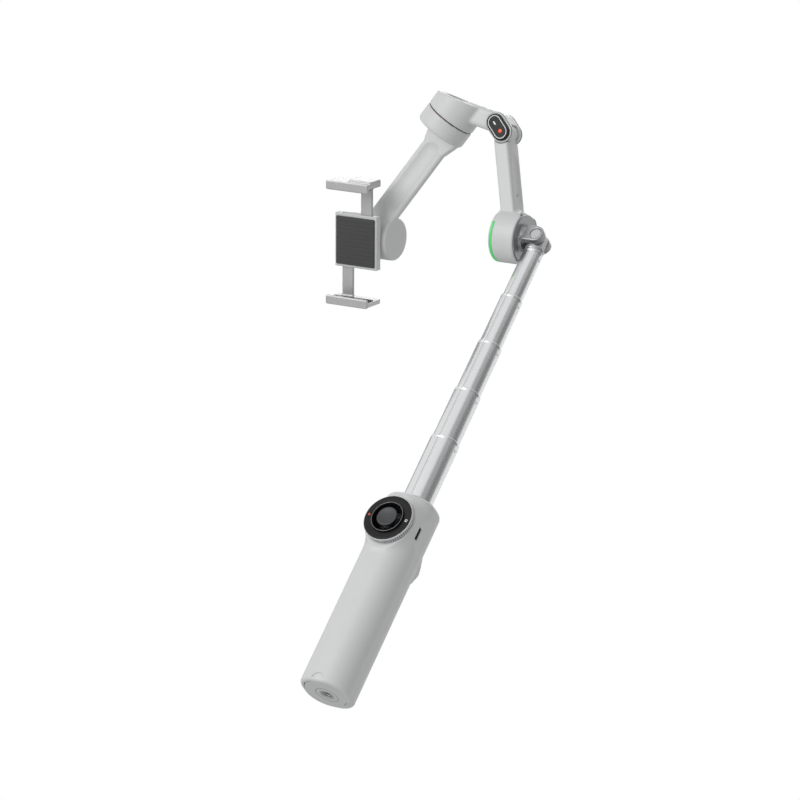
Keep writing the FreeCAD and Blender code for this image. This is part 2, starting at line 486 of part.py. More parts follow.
def makePan():
    # knuckle: base disc and two ears, drawn about the hinge pin
    disc = drum("knuckleDisc", "motorRadius - motorWall - motorGap",
                ("-panNear - discThick", "-panNear"), "x", ("0", "0"))
    step = drum("knuckleStep", "9.5", ("-panNear", "1.8 - panNear"), "x", ("0", "0"))
    ears = []
    for i, (near, far) in enumerate((("-earOuter", "-earInner"), ("earInner", "earOuter"))):
        ears.append(drum(f"earEnd{i}", "earRadius", (near, far), "y", ("0", "0")))
        ears.append(block(f"earWeb{i}", ("0.5 - panNear", "0"), (near, far), ("-earRadius", "earRadius")))
    bore = drum("earBore", "pinRadius + fitGap", ("-20", "20"), "y", ("0", "0"))
    sink = drum("earSink", "3.9", ("-earOuter - 1", "1.6 - earOuter"), "y", ("0", "0"))
    node("pan_knuckle", pivotFrame, cut("knuckle", join("knuckleSolid", disc, step, *ears), bore, sink))
    pin = drum("hingePin", "pinRadius", ("1.6 - earOuter", "earOuter - 0.2"), "y", ("0", "0"))
    head = drum("hingePinHead", "3.8", ("0.8 - earOuter", "1.6 - earOuter"), "y", ("0", "0"))
    node("pivot_pin", pivotFrame, join("pinAndHead", pin, head))

    motor = panFrame.multiply(Placement(Vector(0, 0, value("panOrigin")), upright))
    makeMotor("pan", motor, "motorRadius", "panFloor", "1 - panFloor", "panRoof")

    body = softDrum("panDrum", "motorRadius", ("panNear", "panFar"), "0.5", "1.2")
    nearRoom = drum("panRoom", "motorRadius - motorWall", ("panNear - 1", "panOrigin + panRoof"))
    capBase = "panOrigin + panRoof + motorShelf"
    farRoom = drum("panCapRoom", "motorRadius - motorWall", (capBase, "panFar + 1"))
    band = ring("ledBand", "motorRadius + 1", "motorRadius - ledDeep", ("ledNear", "ledFar"))
    groove = cut("ledGroove", band, ledKeepOut("ledSkip"))
    arm = softBlock("armBar", ("-armHalfWidth", "armHalfWidth"), ("-armHalfDepth", "armHalfDepth"),
                    ("6", "foldUp / cos(armLean) - 3.5"), "1.6")
    turned(arm, Placement(Vector(), Rotation(Vector(1, 0, 0), -90)))
    # the neck runs in line with the folding pin, a little beside the bar's own middle
    aside = "((foldAcross - armFoot) * cos(armLean) + foldUp * sin(armLean))"
    neck = block("armNeck", (f"{aside} - tongueThick", f"{aside} + tongueThick"),
                 ("50", "foldUp / cos(armLean) - 1.8"), ("-tongueThick", "tongueThick"))
    lean = armInPan.multiply(leanInArm)
    turned(arm, lean)
    sweep = doc.addObject("Part::Compound", "blockSweepTurned")
    sweep.Links = [drum("blockSweep", "blockRadius + slotGap + 0.1", ("-20", "20"))]
    sweep.Placement = armInPan.multiply(Placement(Vector(value("foldAcross"), value("foldUp"), 0), upright))
    armCut = cut("armBarCut", arm, sweep)
    neckTurned = doc.addObject("Part::Compound", "armNeckTurned")
    neckTurned.Links = [neck]
    neckTurned.Placement = lean
    eye = doc.addObject("Part::Compound", "armEyeTurned")
    eye.Links = [drum("armEye", "eyeRadius", ("-tongueThick", "tongueThick"))]
    eye.Placement = sweep.Placement
    eyeBore = doc.addObject("Part::Compound", "armEyeBoreTurned")
    eyeBore.Links = [drum("armEyeBore", "foldPinRadius + pinGap", ("-20", "20"))]
    eyeBore.Placement = eye.Placement
    seat = doc.addObject("Part::Compound", "coverSeat")
    seat.Links = [block("coverSeatBar", ("armHalfWidth - coverDeep", "armHalfWidth + 1"),
                        ("coverNear", "coverFar"), ("-coverHalf", "coverHalf"))]
    seat.Placement = lean
    solid = join("panArmSolid", body, armCut, neckTurned, eye)
    node("pan_arm", panFrame, cut("panArm", solid, nearRoom, farRoom, groove, eyeBore, seat))
    node("pan_end_cap", panFrame,
         softDrum("panCap", "motorRadius - motorWall - 0.05", (capBase, "panFar"), None, "0.5"))
    strip = ring("ledRing", "motorRadius + 0.05", "motorRadius - ledDeep + 0.05",
                 ("ledNear + 0.05", "ledFar - 0.05"))
    node("led_strip", panFrame, cut("ledStrip", strip, ledKeepOut("ledEnds")))
    cover = block("armCover", ("armHalfWidth - coverDeep", "armHalfWidth - 0.1"),
                  ("coverNear + shellGap", "coverFar - shellGap"),
                  ("shellGap - coverHalf", "coverHalf - shellGap"))
    node("arm_cover", armFrame.multiply(leanInArm), cover)
    node("fold_pin", foldFrame,
         drum("foldPin", "foldPinRadius", ("-blockRadius - 0.9", "blockRadius + 0.45")))


def ledKeepOut(name):
    """The part of a ring about the pan axis that carries no light."""
    item = doc.addObject("Part::Compound", name)
    sector = doc.addObject("Part::Cylinder", name + "Sector")
    sector.Radius = 40
    sector.Height = 60
    bind(sector, "Angle", "360 - ledArc")
    item.Links = [sector]
    item.Placement = Placement(Vector(), Rotation(Vector(0, 0, 1), value("ledTurn")))
    return item


# Folding link and roll motor
def stadium(name, radius, length, span, start="0"):
    """A plate with two round ends, along X."""
    end = f"({start}) + ({length})"
    rounds = [drum(name + str(i), radius, span, "z", (at, "0")) for i, at in enumerate((start, end))]
    return join(name, *rounds, block(name + "M", (start, end), (f"-({radius})", radius), span))


def makeFold():
    shape = stadium("foldShape", "blockRadius", "blockLong", ("-blockRadius - 1.2", "blockRadius + 0.9"))
    slotSpan = ("-tongueThick - slotGap", "tongueThick + slotGap")
    slot = drum("foldSlot", "eyeRadius + slotGap", slotSpan)
    # the slot's mouth is only as wide as the arm needs to swing through a quarter turn
    mouth = drum("foldMouth", "blockRadius + 1", slotSpan)
    bind(mouth, "Angle", "90 + 2 * mouthSpare")
    armAngle = 270 + value("armLean") - value("blockTurn")
    turned(mouth, Placement(Vector(), Rotation(Vector(0, 0, 1), armAngle - value("mouthSpare"))))
    bore = drum("foldBore", "foldPinRadius + fitGap", ("-blockRadius - 1", "blockRadius + 0.85"))
    capSpan = ("blockRadius + 0.5", "blockRadius + 0.5 + capDeep")
    seat = stadium("capSeat", "capRadius + 0.05", "blockLong", (capSpan[0], "blockRadius + 5"))
    link = softBlock("linkBar", ("-linkHalf", "linkHalf"), ("-linkHalf", "linkHalf"), ("0", "30"), "3")
    turned(link, Placement(Vector(), Rotation(Vector(0, 1, 0), 90)))
    away = foldInArm.inverse().multiply(Placement(
        foldInArm.multVec(Vector(value("blockLong"), 0, 0)), Rotation(Vector(0, 0, 1), value("linkTurn"))))
    turned(link, away)
    inner = drum("linkSlotKeep", "blockRadius + 1", ("-20", "20"))
    toRoll = foldInArm.inverse().multiply(rollInArm)
    house = doc.addObject("Part::Compound", "rollHousePlaced")
    solid = drum("rollHouse", "motorRadius", ("-30", "-motorGap / 2"))
    roofCut = doc.addObject("Part::Compound", "roofCut")
    roofCut.Links = [block("roofCutBlock", ("-60", "60"), ("-60", "60"), ("-60", "0"))]
    roofSlope = Rotation(Vector(0, 1, 0), value("roofTurn"))
    roofCut.Placement = Placement(Vector(0, 0, -value("roofHeight")), roofSlope)
    house.Links = [cut("rollHouseCut", solid, roofCut)]
    house.Placement = toRoll
    linkClean = cut("linkClean", link, inner)
    room = doc.addObject("Part::Compound", "rollRoomPlaced")
    room.Links = [drum("rollRoom", "motorRadius - motorWall", ("-deepFloor", "1"))]
    room.Placement = toRoll
    capRoom = doc.addObject("Part::Compound", "rollCapRoomPlaced")
    capRoom.Links = [drum("rollCapRoom", "roofCapRadius + 0.05", ("-4", "roofCapDeep"))]
    roofCentre = Vector(-2.9, 0, 0.9 - value("roofHeight"))
    capPlace = toRoll.multiply(Placement(roofCentre, roofSlope))
    capRoom.Placement = capPlace
    node("fold_block", foldFrame, cut("foldBlockCut", shape, slot, mouth, bore, seat))
    keep = stadium("foldKeep", "blockRadius + fitGap", "blockLong", ("-20", "20"))
    linkOutside = cut("linkOutside", linkClean, keep)
    housing = join("rollHousingSolid", linkOutside, house)
    node("roll_housing", foldFrame, cut("rollHousing", housing, room, capRoom))
    node("roll_cap", foldFrame.multiply(capPlace),
         softDrum("rollCap", "roofCapRadius", ("roofCapDeep - 1.1", "roofCapDeep - 0.05"), "0.3"))
    node("hinge_cap", foldFrame, stadium("hingeCap", "capRadius", "blockLong", capSpan))
    makeMotor("roll", rollFrame, "motorRadius", "deepFloor", "1", "deepRoof")


def makeRollArm():
    body = softDrum("rollDrum", "motorRadius", ("motorGap / 2", "rollDrumDepth"), None, "1.5")
    room = drum("rollDrumRoom", "motorRadius - motorWall", ("-1", "deepRoof"))
    beam = softBlock("beamBar", ("-beamHalf", "beamHalf"), ("-beamFar", "-beamNear"),
                     ("rollDrumDepth - 1", "beamLength"), "2.2")
    # the beam widens towards the drum, drawn in XY and stood up along the beam
    shoulderEnd = "rollDrumDepth + shoulderLength"
    taper = (("-shoulderHalf", "rollDrumDepth - 1"), ("shoulderHalf", "rollDrumDepth - 1"),
             ("beamHalf", shoulderEnd), ("-beamHalf", shoulderEnd))
    shoulder = outline("beamShoulder", taper, ("beamNear", "beamFar"))
    turned(shoulder, Placement(Vector(), Rotation(Vector(1, 0, 0), 90)))
    seat = block("beamSeat", ("-panelHalf", "panelHalf"), ("-beamNear - panelDeep", "0"),
                 ("rollDrumDepth + panelStart", "panelEnd"))
    toTilt = rollFrame.inverse().multiply(tiltFrame)
    drumPlaced = doc.addObject("Part::Compound", "tiltHousePlaced")
    outerEnd = "tiltSeam - tiltEnd"
    drumPlaced.Links = [softDrum("tiltHouse", "tiltRadius", (outerEnd, "-motorGap / 2"), "1.5", None)]
    drumPlaced.Placement = toTilt
    tiltRoom = doc.addObject("Part::Compound", "tiltRoomPlaced")
    tiltRoom.Links = [drum("tiltRoom", "tiltRadius - motorWall", ("-deepFloor", "1"))]
    tiltRoom.Placement = toTilt
    tiltSweep = doc.addObject("Part::Compound", "tiltSweepPlaced")
    tiltSweep.Links = [drum("tiltSweep", "tiltRadius + 1", ("-motorGap / 2", "40"))]
    tiltSweep.Placement = toTilt
    solid = join("rollArmSolid", body, beam, shoulder, drumPlaced)
    node("roll_arm", rollFrame, cut("rollArm", solid, room, seat, tiltRoom, tiltSweep))
    panel = block("beamPanel", ("shellGap - panelHalf", "panelHalf - shellGap"),
                  ("-beamNear - panelDeep", "-beamNear - 0.1"),
                  ("rollDrumDepth + panelStart + shellGap", "panelEnd - shellGap"))
    node("roll_arm_panel", rollFrame, panel)
    makeMotor("tilt", tiltFrame, "tiltRadius", "deepFloor", "1", "deepRoof")


# Phone clamp
def makeClamp():
    seam = "tiltSeam - motorGap / 2"
    back = "-tiltBack"
    body = drum("clampDrum", "tiltRadius", ("-tiltStart", seam), "x", ("0", back))
    room = drum("clampDrumRoom", "tiltRadius - motorWall", ("tiltSeam - deepRoof", "tiltSeam + 1"), "x",
                ("0", back))
    plate = block("clampPlate", ("-jawHalf", "jawHalf"), ("-19", "19"), ("-baseFar", "-baseNear"))
    neck = block("clampNeck", ("-tiltStart + 0.8", seam), ("-9", "9"), (f"{back} + 11", "0.5 - baseFar"))
    channel = block("clampChannel", ("-barOuter - slideGap", "barOuter + slideGap"), ("-20", "20"),
                    ("-barFar - slideGap", "-barNear + slideGap"))
    seat = drum("pinionSeat", "pinionPinRadius + fitGap", ("-barFar - 0.45", "-barNear + 0.55"))
    solid = join("clampSolid", body, plate, neck)
    node("clamp_frame", clampFrame, cut("clampFrame", solid, room, channel, seat))
    node("clamp_pad", clampFrame, softBlock("clampPad", ("1.5 - jawHalf", "jawHalf - 1.5"), ("-17", "17"),
                                            ("-baseNear", "-phoneThick / 2 - 0.3"), "3"))
    node("clamp_pinion", clampFrame,
         ring("clampPinion", "pinionRadius", "pinionPinRadius + pinGap", ("0.1 - barFar", "-0.1 - barNear")))
    node("pinion_pin", clampFrame, drum("pinionPin", "pinionPinRadius", ("-barFar - 0.4", "-barNear + 0.5")))
    for label, side in (("upper", 1), ("lower", -1)):
        far = "phoneHalf + padThick + jawWall"
        near = "phoneHalf + padThick"
        lipTop = "phoneThick / 2 + 0.4 + lipThick"
        wall = block(label + "Wall", ("-jawHalf", "jawHalf"), (near, far), ("-baseFar", lipTop))
        lip = softBlock(label + "Lip", ("-jawHalf", "jawHalf"), ("phoneHalf - lipReach", f"{far} + 0.6"),
                        ("phoneThick / 2 + 0.4", lipTop), "1.4")
        bar = block(label + "Bar", ("barInner", "barOuter"), ("-10", far), ("-barFar", "-barNear"))
        parts = [wall, lip, bar]
        if side == 1:
            parts.append(softBlock("upperStep", ("-1", "jawHalf"), (near, f"{far} + 2"), ("-baseFar", "2"),
                                   "1.2"))
        jaw = join(label + "Jaw", *parts)
        pad = block(label + "PadBar", ("1 - jawHalf", "jawHalf - 1"), ("phoneHalf", near), ("-4", "4"))
        frame = clampFrame.multiply(Placement(Vector(), Rotation(Vector(0, 0, 1), 90 - 90 * side)))
        node(f"{label}_jaw", frame, jaw)
        node(f"{label}_jaw_pad", frame, pad)


makeHandle()
makeTripod()
makeControls()
makeRod()
makePan()
makeFold()
makeRollArm()
makeClamp()
doc.recompute()

problems = [o.Name for o in doc.Objects if "Invalid" in o.State or "Error" in o.State]
problems += [p.Label for p in pieces if p.Shape.isNull() or not p.Shape.isValid() or not p.Shape.Solids]
if problems:
    raise RuntimeError("not built: " + ", ".join(problems))

os.makedirs("parts", exist_ok=True)
for piece in pieces:
    piece.Shape.exportStep(os.path.join("parts", piece.Label + ".step"))
print(len(pieces), "sub-parts")
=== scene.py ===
import bpy
import bmesh
import json
import math
import numpy as np
from mathutils import Matrix, Vector


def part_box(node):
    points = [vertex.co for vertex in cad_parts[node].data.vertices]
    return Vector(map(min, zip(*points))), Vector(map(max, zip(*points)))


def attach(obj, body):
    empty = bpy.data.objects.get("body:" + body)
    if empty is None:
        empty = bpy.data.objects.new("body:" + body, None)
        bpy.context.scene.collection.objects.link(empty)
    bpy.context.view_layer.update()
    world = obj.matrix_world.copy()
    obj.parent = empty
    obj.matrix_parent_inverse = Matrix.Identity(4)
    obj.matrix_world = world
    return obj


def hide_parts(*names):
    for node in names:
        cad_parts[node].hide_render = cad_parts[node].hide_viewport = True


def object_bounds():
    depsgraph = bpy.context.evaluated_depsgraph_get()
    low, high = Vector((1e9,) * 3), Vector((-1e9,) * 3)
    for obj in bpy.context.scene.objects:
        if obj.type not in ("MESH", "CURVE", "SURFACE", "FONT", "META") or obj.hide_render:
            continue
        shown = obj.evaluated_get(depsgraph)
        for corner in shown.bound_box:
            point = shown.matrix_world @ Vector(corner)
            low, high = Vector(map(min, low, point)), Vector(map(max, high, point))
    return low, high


# A folding phone gimbal: grip with dial and stick, five-stage rod, three motor arms, sprung clamp.
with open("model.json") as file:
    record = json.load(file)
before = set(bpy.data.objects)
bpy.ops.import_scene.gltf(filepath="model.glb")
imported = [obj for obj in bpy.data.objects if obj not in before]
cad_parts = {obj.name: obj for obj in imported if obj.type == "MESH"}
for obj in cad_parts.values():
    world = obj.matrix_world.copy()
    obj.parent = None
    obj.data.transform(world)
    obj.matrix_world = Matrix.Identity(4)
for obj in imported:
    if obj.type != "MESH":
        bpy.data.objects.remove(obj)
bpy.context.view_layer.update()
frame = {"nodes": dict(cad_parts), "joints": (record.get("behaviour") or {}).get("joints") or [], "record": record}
jointOf = {j["name"]: j for j in frame["joints"]}
bodyOf = {n: b for b, members in frame["record"]["behaviour"]["bodies"].items() for n in members}
mm = 0.001
print("frame loaded:", len(frame["nodes"]), "nodes")


def newObject(name, data):
    thing = bpy.data.objects.new(name, data)
    bpy.context.scene.collection.objects.link(thing)
    return thing


# camera
cameraView = {"place": (1.257, -1.937, -0.898), "toward": (0.5034, -0.7481, -0.4324),
              "up": (-0.1387, -0.5639, 0.8141), "lens": 175.5,
              "sensor": 36, "clipEnd": 20}


def viewAxes():
    back = Vector(cameraView["toward"]).normalized()
    right = Vector(cameraView["up"]).cross(back).normalized()
    return right, back.cross(right).normalized(), back


def makeCamera():
    right, up, back = viewAxes()
    camera = newObject("camera", bpy.data.cameras.new("camera"))
    camera.data.lens = cameraView["lens"]
    camera.data.sensor_width = cameraView["sensor"]
    camera.data.clip_end = cameraView["clipEnd"]
    turn = Matrix((right, up, back)).transposed().to_4x4()
    camera.matrix_world = Matrix.Translation(cameraView["place"]) @ turn
    bpy.context.scene.camera = camera


# node helpers
def addNode(tree, kind, values=None, **settings):
    node = tree.nodes.new(kind)
    for key, value in settings.items():
        setattr(node, key, value)
    for key, value in (values or {}).items():
        if isinstance(value, bpy.types.NodeSocket):
            tree.links.new(value, node.inputs[key])
        else:
            node.inputs[key].default_value = value
    return node


def newGroup(name, kind, inputs, outputs):
    tree = bpy.data.node_groups.new(name, kind)
    for label, socketType, start in inputs:
        socket = tree.interface.new_socket(name=label, in_out="INPUT", socket_type=socketType)
        if start is not None:
            socket.default_value = start
    for label, socketType in outputs:
        tree.interface.new_socket(name=label, in_out="OUTPUT", socket_type=socketType)
    return tree, tree.nodes.new("NodeGroupInput"), tree.nodes.new("NodeGroupOutput")


# fine moulded or blasted grain: it shifts the colour and roughness a little and gives a tiny bump
def makeGrainGroup():
    tree, start, end = newGroup("surfaceGrain", "ShaderNodeTree", (
        ("Color", "NodeSocketColor", (0.5, 0.5, 0.5, 1)), ("Roughness", "NodeSocketFloat", 0.5),
        ("Grain Scale", "NodeSocketFloat", 2500), ("Grain Depth", "NodeSocketFloat", 0.1),
        ("Tint", "NodeSocketFloat", 0.04), ("Smudge", "NodeSocketFloat", 0.06),
        ("Soft Edge", "NodeSocketFloat", 0.0005)),
        (("Color", "NodeSocketColor"), ("Roughness", "NodeSocketFloat"), ("Normal", "NodeSocketVector")))
    place = addNode(tree, "ShaderNodeTexCoord").outputs["Object"]
    grain = addNode(tree, "ShaderNodeTexNoise", {"Vector": place, "Scale": start.outputs["Grain Scale"],
                                                 "Detail": 3})
    cloud = addNode(tree, "ShaderNodeTexNoise", {"Vector": place, "Scale": 45, "Detail": 4, "Roughness": 0.6})
    shift = addNode(tree, "ShaderNodeMath", {0: cloud.outputs["Fac"], 1: 0.5}, operation="SUBTRACT")
    tint = addNode(tree, "ShaderNodeMath", {0: shift.outputs[0], 1: start.outputs["Tint"], 2: 1.0},
                   operation="MULTIPLY_ADD")
    shade = addNode(tree, "ShaderNodeVectorMath", {0: start.outputs["Color"], "Scale": tint.outputs[0]},
                    operation="SCALE")
    rough = addNode(tree, "ShaderNodeMath", {0: shift.outputs[0], 1: start.outputs["Smudge"],
                                             2: start.outputs["Roughness"]},
                    operation="MULTIPLY_ADD")
    soft = addNode(tree, "ShaderNodeBevel", {"Radius": start.outputs["Soft Edge"]}, samples=6)
    bump = addNode(tree, "ShaderNodeBump", {"Strength": start.outputs["Grain Depth"], "Distance": 0.0001,
                                            "Height": grain.outputs["Fac"], "Normal": soft.outputs[0]})
    for label, socket in (("Color", shade.outputs[0]), ("Roughness", rough.outputs[0]),
                          ("Normal", bump.outputs[0])):
        tree.links.new(socket, end.inputs[label])
    return tree


# corner wear and painted edge highlight: a lighter colour on corners and creases, from a mask of how far the
# softened normal leaves the true one
def makeWearAndEdgeHighlightGroup():
    tree, start, end = newGroup("cornerWearAndPaintedHighlight", "ShaderNodeTree", (
        ("Color", "NodeSocketColor", (0.5, 0.5, 0.5, 1)),
        ("Worn And Highlight Color", "NodeSocketColor", (0.8, 0.8, 0.8, 1)),
        ("Amount", "NodeSocketFloat", 0.3), ("Width", "NodeSocketFloat", 0.0006)),
        (("Color", "NodeSocketColor"),))
    soft = addNode(tree, "ShaderNodeBevel", {"Radius": start.outputs["Width"]}, samples=6)
    true = addNode(tree, "ShaderNodeNewGeometry")
    turn = addNode(tree, "ShaderNodeVectorMath", {0: soft.outputs[0], 1: true.outputs["Normal"]},
                   operation="DOT_PRODUCT")
    edge = addNode(tree, "ShaderNodeMapRange", {"Value": turn.outputs["Value"], "From Min": 0.995,
                                                "From Max": 0.8})
    place = addNode(tree, "ShaderNodeTexCoord").outputs["Object"]
    patch = addNode(tree, "ShaderNodeTexNoise", {"Vector": place, "Scale": 220, "Detail": 5})
    broken = addNode(tree, "ShaderNodeMath", {0: edge.outputs["Result"], 1: patch.outputs["Fac"]},
                     operation="MULTIPLY")
    mask = addNode(tree, "ShaderNodeMath", {0: broken.outputs[0], 1: start.outputs["Amount"]},
                   operation="MULTIPLY", use_clamp=True)
    mix = addNode(tree, "ShaderNodeMix", {0: mask.outputs[0], 6: start.outputs["Color"],
                                          7: start.outputs["Worn And Highlight Color"]},
                  data_type="RGBA")
    tree.links.new(mix.outputs[2], end.inputs["Color"])
    return tree


grainGroup = makeGrainGroup()
wearAndHighlightGroup = makeWearAndEdgeHighlightGroup()


def makeMaterial(name, spec):
    material = bpy.data.materials.new(name)
    material.use_nodes = True
    tree = material.node_tree
    shader = tree.nodes["Principled BSDF"]
    color = (*spec["color"], 1)
    # corners and creases take a lighter colour: partly wear, partly a painted edge highlight
    wornAndHighlight = addNode(tree, "ShaderNodeGroup", node_tree=wearAndHighlightGroup)
    grain = addNode(tree, "ShaderNodeGroup", node_tree=grainGroup)
    for key, value in (("Color", color), ("Worn And Highlight Color", (*spec.get("wornAndHighlight", spec["color"]), 1)),
                       ("Amount", spec.get("wearAndHighlight", 0.3)), ("Width", spec.get("wearWidth", 0.0005))):
        wornAndHighlight.inputs[key].default_value = value
    for key, value in (("Roughness", spec["rough"]), ("Grain Scale", spec.get("grainScale", 2500)),
                       ("Grain Depth", spec.get("grain", 0.1)), ("Tint", spec.get("tint", 0.05)),
                       ("Smudge", spec.get("smudge", 0.06)), ("Soft Edge", spec.get("softEdge", 0.0004))):
        grain.inputs[key].default_value = value
    tree.links.new(wornAndHighlight.outputs["Color"], grain.inputs["Color"])
    for key in ("Color", "Roughness", "Normal"):
        tree.links.new(grain.outputs[key], shader.inputs["Base Color" if key == "Color" else key])
    shader.inputs["Metallic"].default_value = spec.get("metal", 0)
    shader.inputs["Specular IOR Level"].default_value = spec.get("specular", 0.5)
    shader.inputs["Coat Weight"].default_value = spec.get("coat", 0)
    shader.inputs["Coat Roughness"].default_value = 0.05
    if "streak" in spec:
        drawStreaks(tree, grain, wornAndHighlight, spec["streak"])
    if "glow" in spec:
        shader.inputs["Emission Color"].default_value = (*spec["glow"], 1)
        shader.inputs["Emission Strength"].default_value = spec["glowStrength"]
    return material


# drawn metal: long fine lines up the tube, in colour and roughness
def drawStreaks(tree, grain, wornAndHighlight, streak):
    place = addNode(tree, "ShaderNodeTexCoord").outputs["Object"]
    spread = (streak["across"], streak["across"], streak["along"])
    wide = addNode(tree, "ShaderNodeMapping", {"Vector": place, "Scale": spread})
    lines = addNode(tree, "ShaderNodeTexNoise", {"Vector": wide.outputs[0], "Scale": 1, "Detail": 2,
                                                 "Roughness": 0.5})
    shade = addNode(tree, "ShaderNodeMapRange", {"Value": lines.outputs["Fac"], "From Min": 0.3,
                                                 "From Max": 0.7, "To Min": 1 - streak["depth"], "To Max": 1})
    color = addNode(tree, "ShaderNodeVectorMath", {0: wornAndHighlight.outputs["Color"],
                                                   "Scale": shade.outputs["Result"]}, operation="SCALE")
    tree.links.new(color.outputs[0], grain.inputs["Color"])
    rough = addNode(tree, "ShaderNodeMapRange", {"Value": lines.outputs["Fac"], "From Min": 0.3,
                                                 "From Max": 0.7,
                                                 "To Min": streak["rough"][0], "To Max": streak["rough"][1]})
    tree.links.new(rough.outputs["Result"], grain.inputs["Roughness"])


# worn is the lighter corner colour and wear its amount: partly wear, partly a painted edge highlight
finishes = {
    "shellGrey": {"color": (0.60, 0.608, 0.61), "wornAndHighlight": (0.72, 0.72, 0.72), "rough": 0.42, "grain": 0.16,
                  "grainScale": 3200, "softEdge": 0.0007, "wearAndHighlight": 0.25},
    "capGrey": {"color": (0.565, 0.572, 0.575), "wornAndHighlight": (0.7, 0.7, 0.7), "rough": 0.36, "grain": 0.08,
                "softEdge": 0.0004},
    "drawnAluminium": {"color": (0.72, 0.728, 0.735), "rough": 0.27, "metal": 1, "grain": 0, "tint": 0.02,
                       "softEdge": 0, "wearAndHighlight": 0,
                       "streak": {"across": 520, "along": 5, "depth": 0.05, "rough": (0.26, 0.29)}},
    "castSteel": {"color": (0.44, 0.44, 0.45), "wornAndHighlight": (0.75, 0.75, 0.75), "rough": 0.36, "metal": 0.75,
                  "grain": 0.2, "grainScale": 1800, "wearAndHighlight": 0.5, "softEdge": 0.0007},
    "knucklePaint": {"color": (0.34, 0.345, 0.35), "wornAndHighlight": (0.55, 0.55, 0.55), "rough": 0.33, "metal": 0.6,
                     "grain": 0.12, "wearAndHighlight": 0.4, "softEdge": 0.0009},
    "turnedSteel": {"color": (0.5, 0.5, 0.51), "rough": 0.28, "metal": 1, "grain": 0.1},
    "blastedAluminium": {"color": (0.50, 0.50, 0.50), "wornAndHighlight": (0.7, 0.7, 0.7), "rough": 0.4, "metal": 0.6,
                         "grain": 0.3, "grainScale": 3800, "wearAndHighlight": 0.5},
    "pianoBlack": {"color": (0.006, 0.006, 0.007), "wornAndHighlight": (0.03, 0.03, 0.03), "rough": 0.28,
                   "specular": 0.22, "grain": 0.02, "tint": 0.2, "smudge": 0.08, "softEdge": 0.0002},
    "softBlack": {"color": (0.035, 0.036, 0.038), "wornAndHighlight": (0.09, 0.09, 0.09), "rough": 0.5, "grain": 0.25,
                  "grainScale": 3000},
    "stickGrey": {"color": (0.022, 0.024, 0.027), "wornAndHighlight": (0.1, 0.1, 0.1), "rough": 0.4, "grain": 0.35,
                  "grainScale": 3600},
    "glintSteel": {"color": (0.3, 0.3, 0.31), "rough": 0.35, "metal": 1, "grain": 0.05},
    # dark grey standing in for the shade inside grooves
    "paintedGrooveShade": {"color": (0.16, 0.162, 0.165), "wornAndHighlight": (0.2, 0.2, 0.2), "rough": 0.6, "grain": 0.1},
    "ventBlack": {"color": (0.012, 0.012, 0.013), "wornAndHighlight": (0.03, 0.03, 0.03), "rough": 0.6, "specular": 0.2,
                  "grain": 0.1},
    "padRubber": {"color": (0.05, 0.05, 0.052), "wornAndHighlight": (0.1, 0.1, 0.1), "rough": 0.75, "grain": 0.5,
                  "grainScale": 2200},
    "greenLight": {"color": (0.06, 0.42, 0.12), "rough": 0.35, "glow": (0.06, 0.62, 0.14),
                   "glowStrength": 0.4},
    # pale ring, with a painted glow
    "paleRingPaintedGlow": {"color": (0.75, 0.75, 0.76), "rough": 0.25, "glow": (0.8, 0.8, 0.8), "glowStrength": 0.12},
    # orange print, with a painted glow
    "markOrangePaintedGlow": {"color": (0.72, 0.08, 0.02), "rough": 0.35, "glow": (0.9, 0.08, 0.01),
                   "glowStrength": 0.15},
    "markWhite": {"color": (0.8, 0.8, 0.8), "rough": 0.4},
    "copperWire": {"color": (0.72, 0.32, 0.14), "rough": 0.3, "metal": 1, "grain": 0.4, "grainScale": 2600},
    "magnetSteel": {"color": (0.32, 0.32, 0.33), "rough": 0.35, "metal": 1, "grain": 0.2},
    "boardGreen": {"color": (0.02, 0.13, 0.05), "rough": 0.4, "grain": 0.3, "grainScale": 900, "tint": 0.5},
    "cellWrap": {"color": (0.04, 0.12, 0.35), "rough": 0.3, "grain": 0.05, "coat": 0.3},
}
paint = {name: makeMaterial(name, spec) for name, spec in finishes.items()}
nodeFinish = {
    "shellGrey": ("handle_front_shell", "handle_back_shell", "pan_arm", "fold_block", "roll_housing",
                  "roll_arm", "trigger", "clamp_frame", "zoom_dial"),
    "capGrey": ("tripod_base", "handle_top_cap", "pan_end_cap", "arm_cover", "roll_arm_panel"),
    "drawnAluminium": tuple(f"rod_stage_{i}" for i in range(1, 6)),
    "castSteel": ("rod_tip",),
    "knucklePaint": ("pan_knuckle",),
    "turnedSteel": ("pivot_pin", "fold_pin", "handle_screws", "thread_insert", "trigger_pin", "pinion_pin",
                    "pan_shaft", "roll_shaft", "tilt_shaft", "pan_bearings", "roll_bearings", "tilt_bearings",
                    "joystick_bezel"),
    "pianoBlack": ("control_panel", "hinge_cap"),
    "ventBlack": ("roll_cap",),
    "softBlack": ("joystick_cap", "joystick_cross", "joystick_module", "rod_sleeve", "tripod_legs",
                  "trigger_switch", "usb_port", "clamp_pinion"),
    "blastedAluminium": ("upper_jaw", "lower_jaw"),
    "padRubber": ("clamp_pad", "upper_jaw_pad", "lower_jaw_pad"),
    "greenLight": ("led_strip",),
    "copperWire": ("pan_windings", "roll_windings", "tilt_windings"),
    "magnetSteel": ("pan_magnets", "roll_magnets", "tilt_magnets"),
    "boardGreen": ("main_board",),
    "cellWrap": ("battery_cell",),
}
for finish, names in nodeFinish.items():
    for name in names:
        mesh = frame["nodes"][name].data
        mesh.materials.clear()
        mesh.materials.append(paint[finish])
print("materials made:", len(paint))


# mesh helpers
def finished(name, mesh, finish, body, replaces=()):
    piece = newObject(name, mesh)
    mesh.materials.clear()
    mesh.materials.append(paint[finish])
    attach(piece, body)
    if replaces:
        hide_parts(*replaces)
    return piece


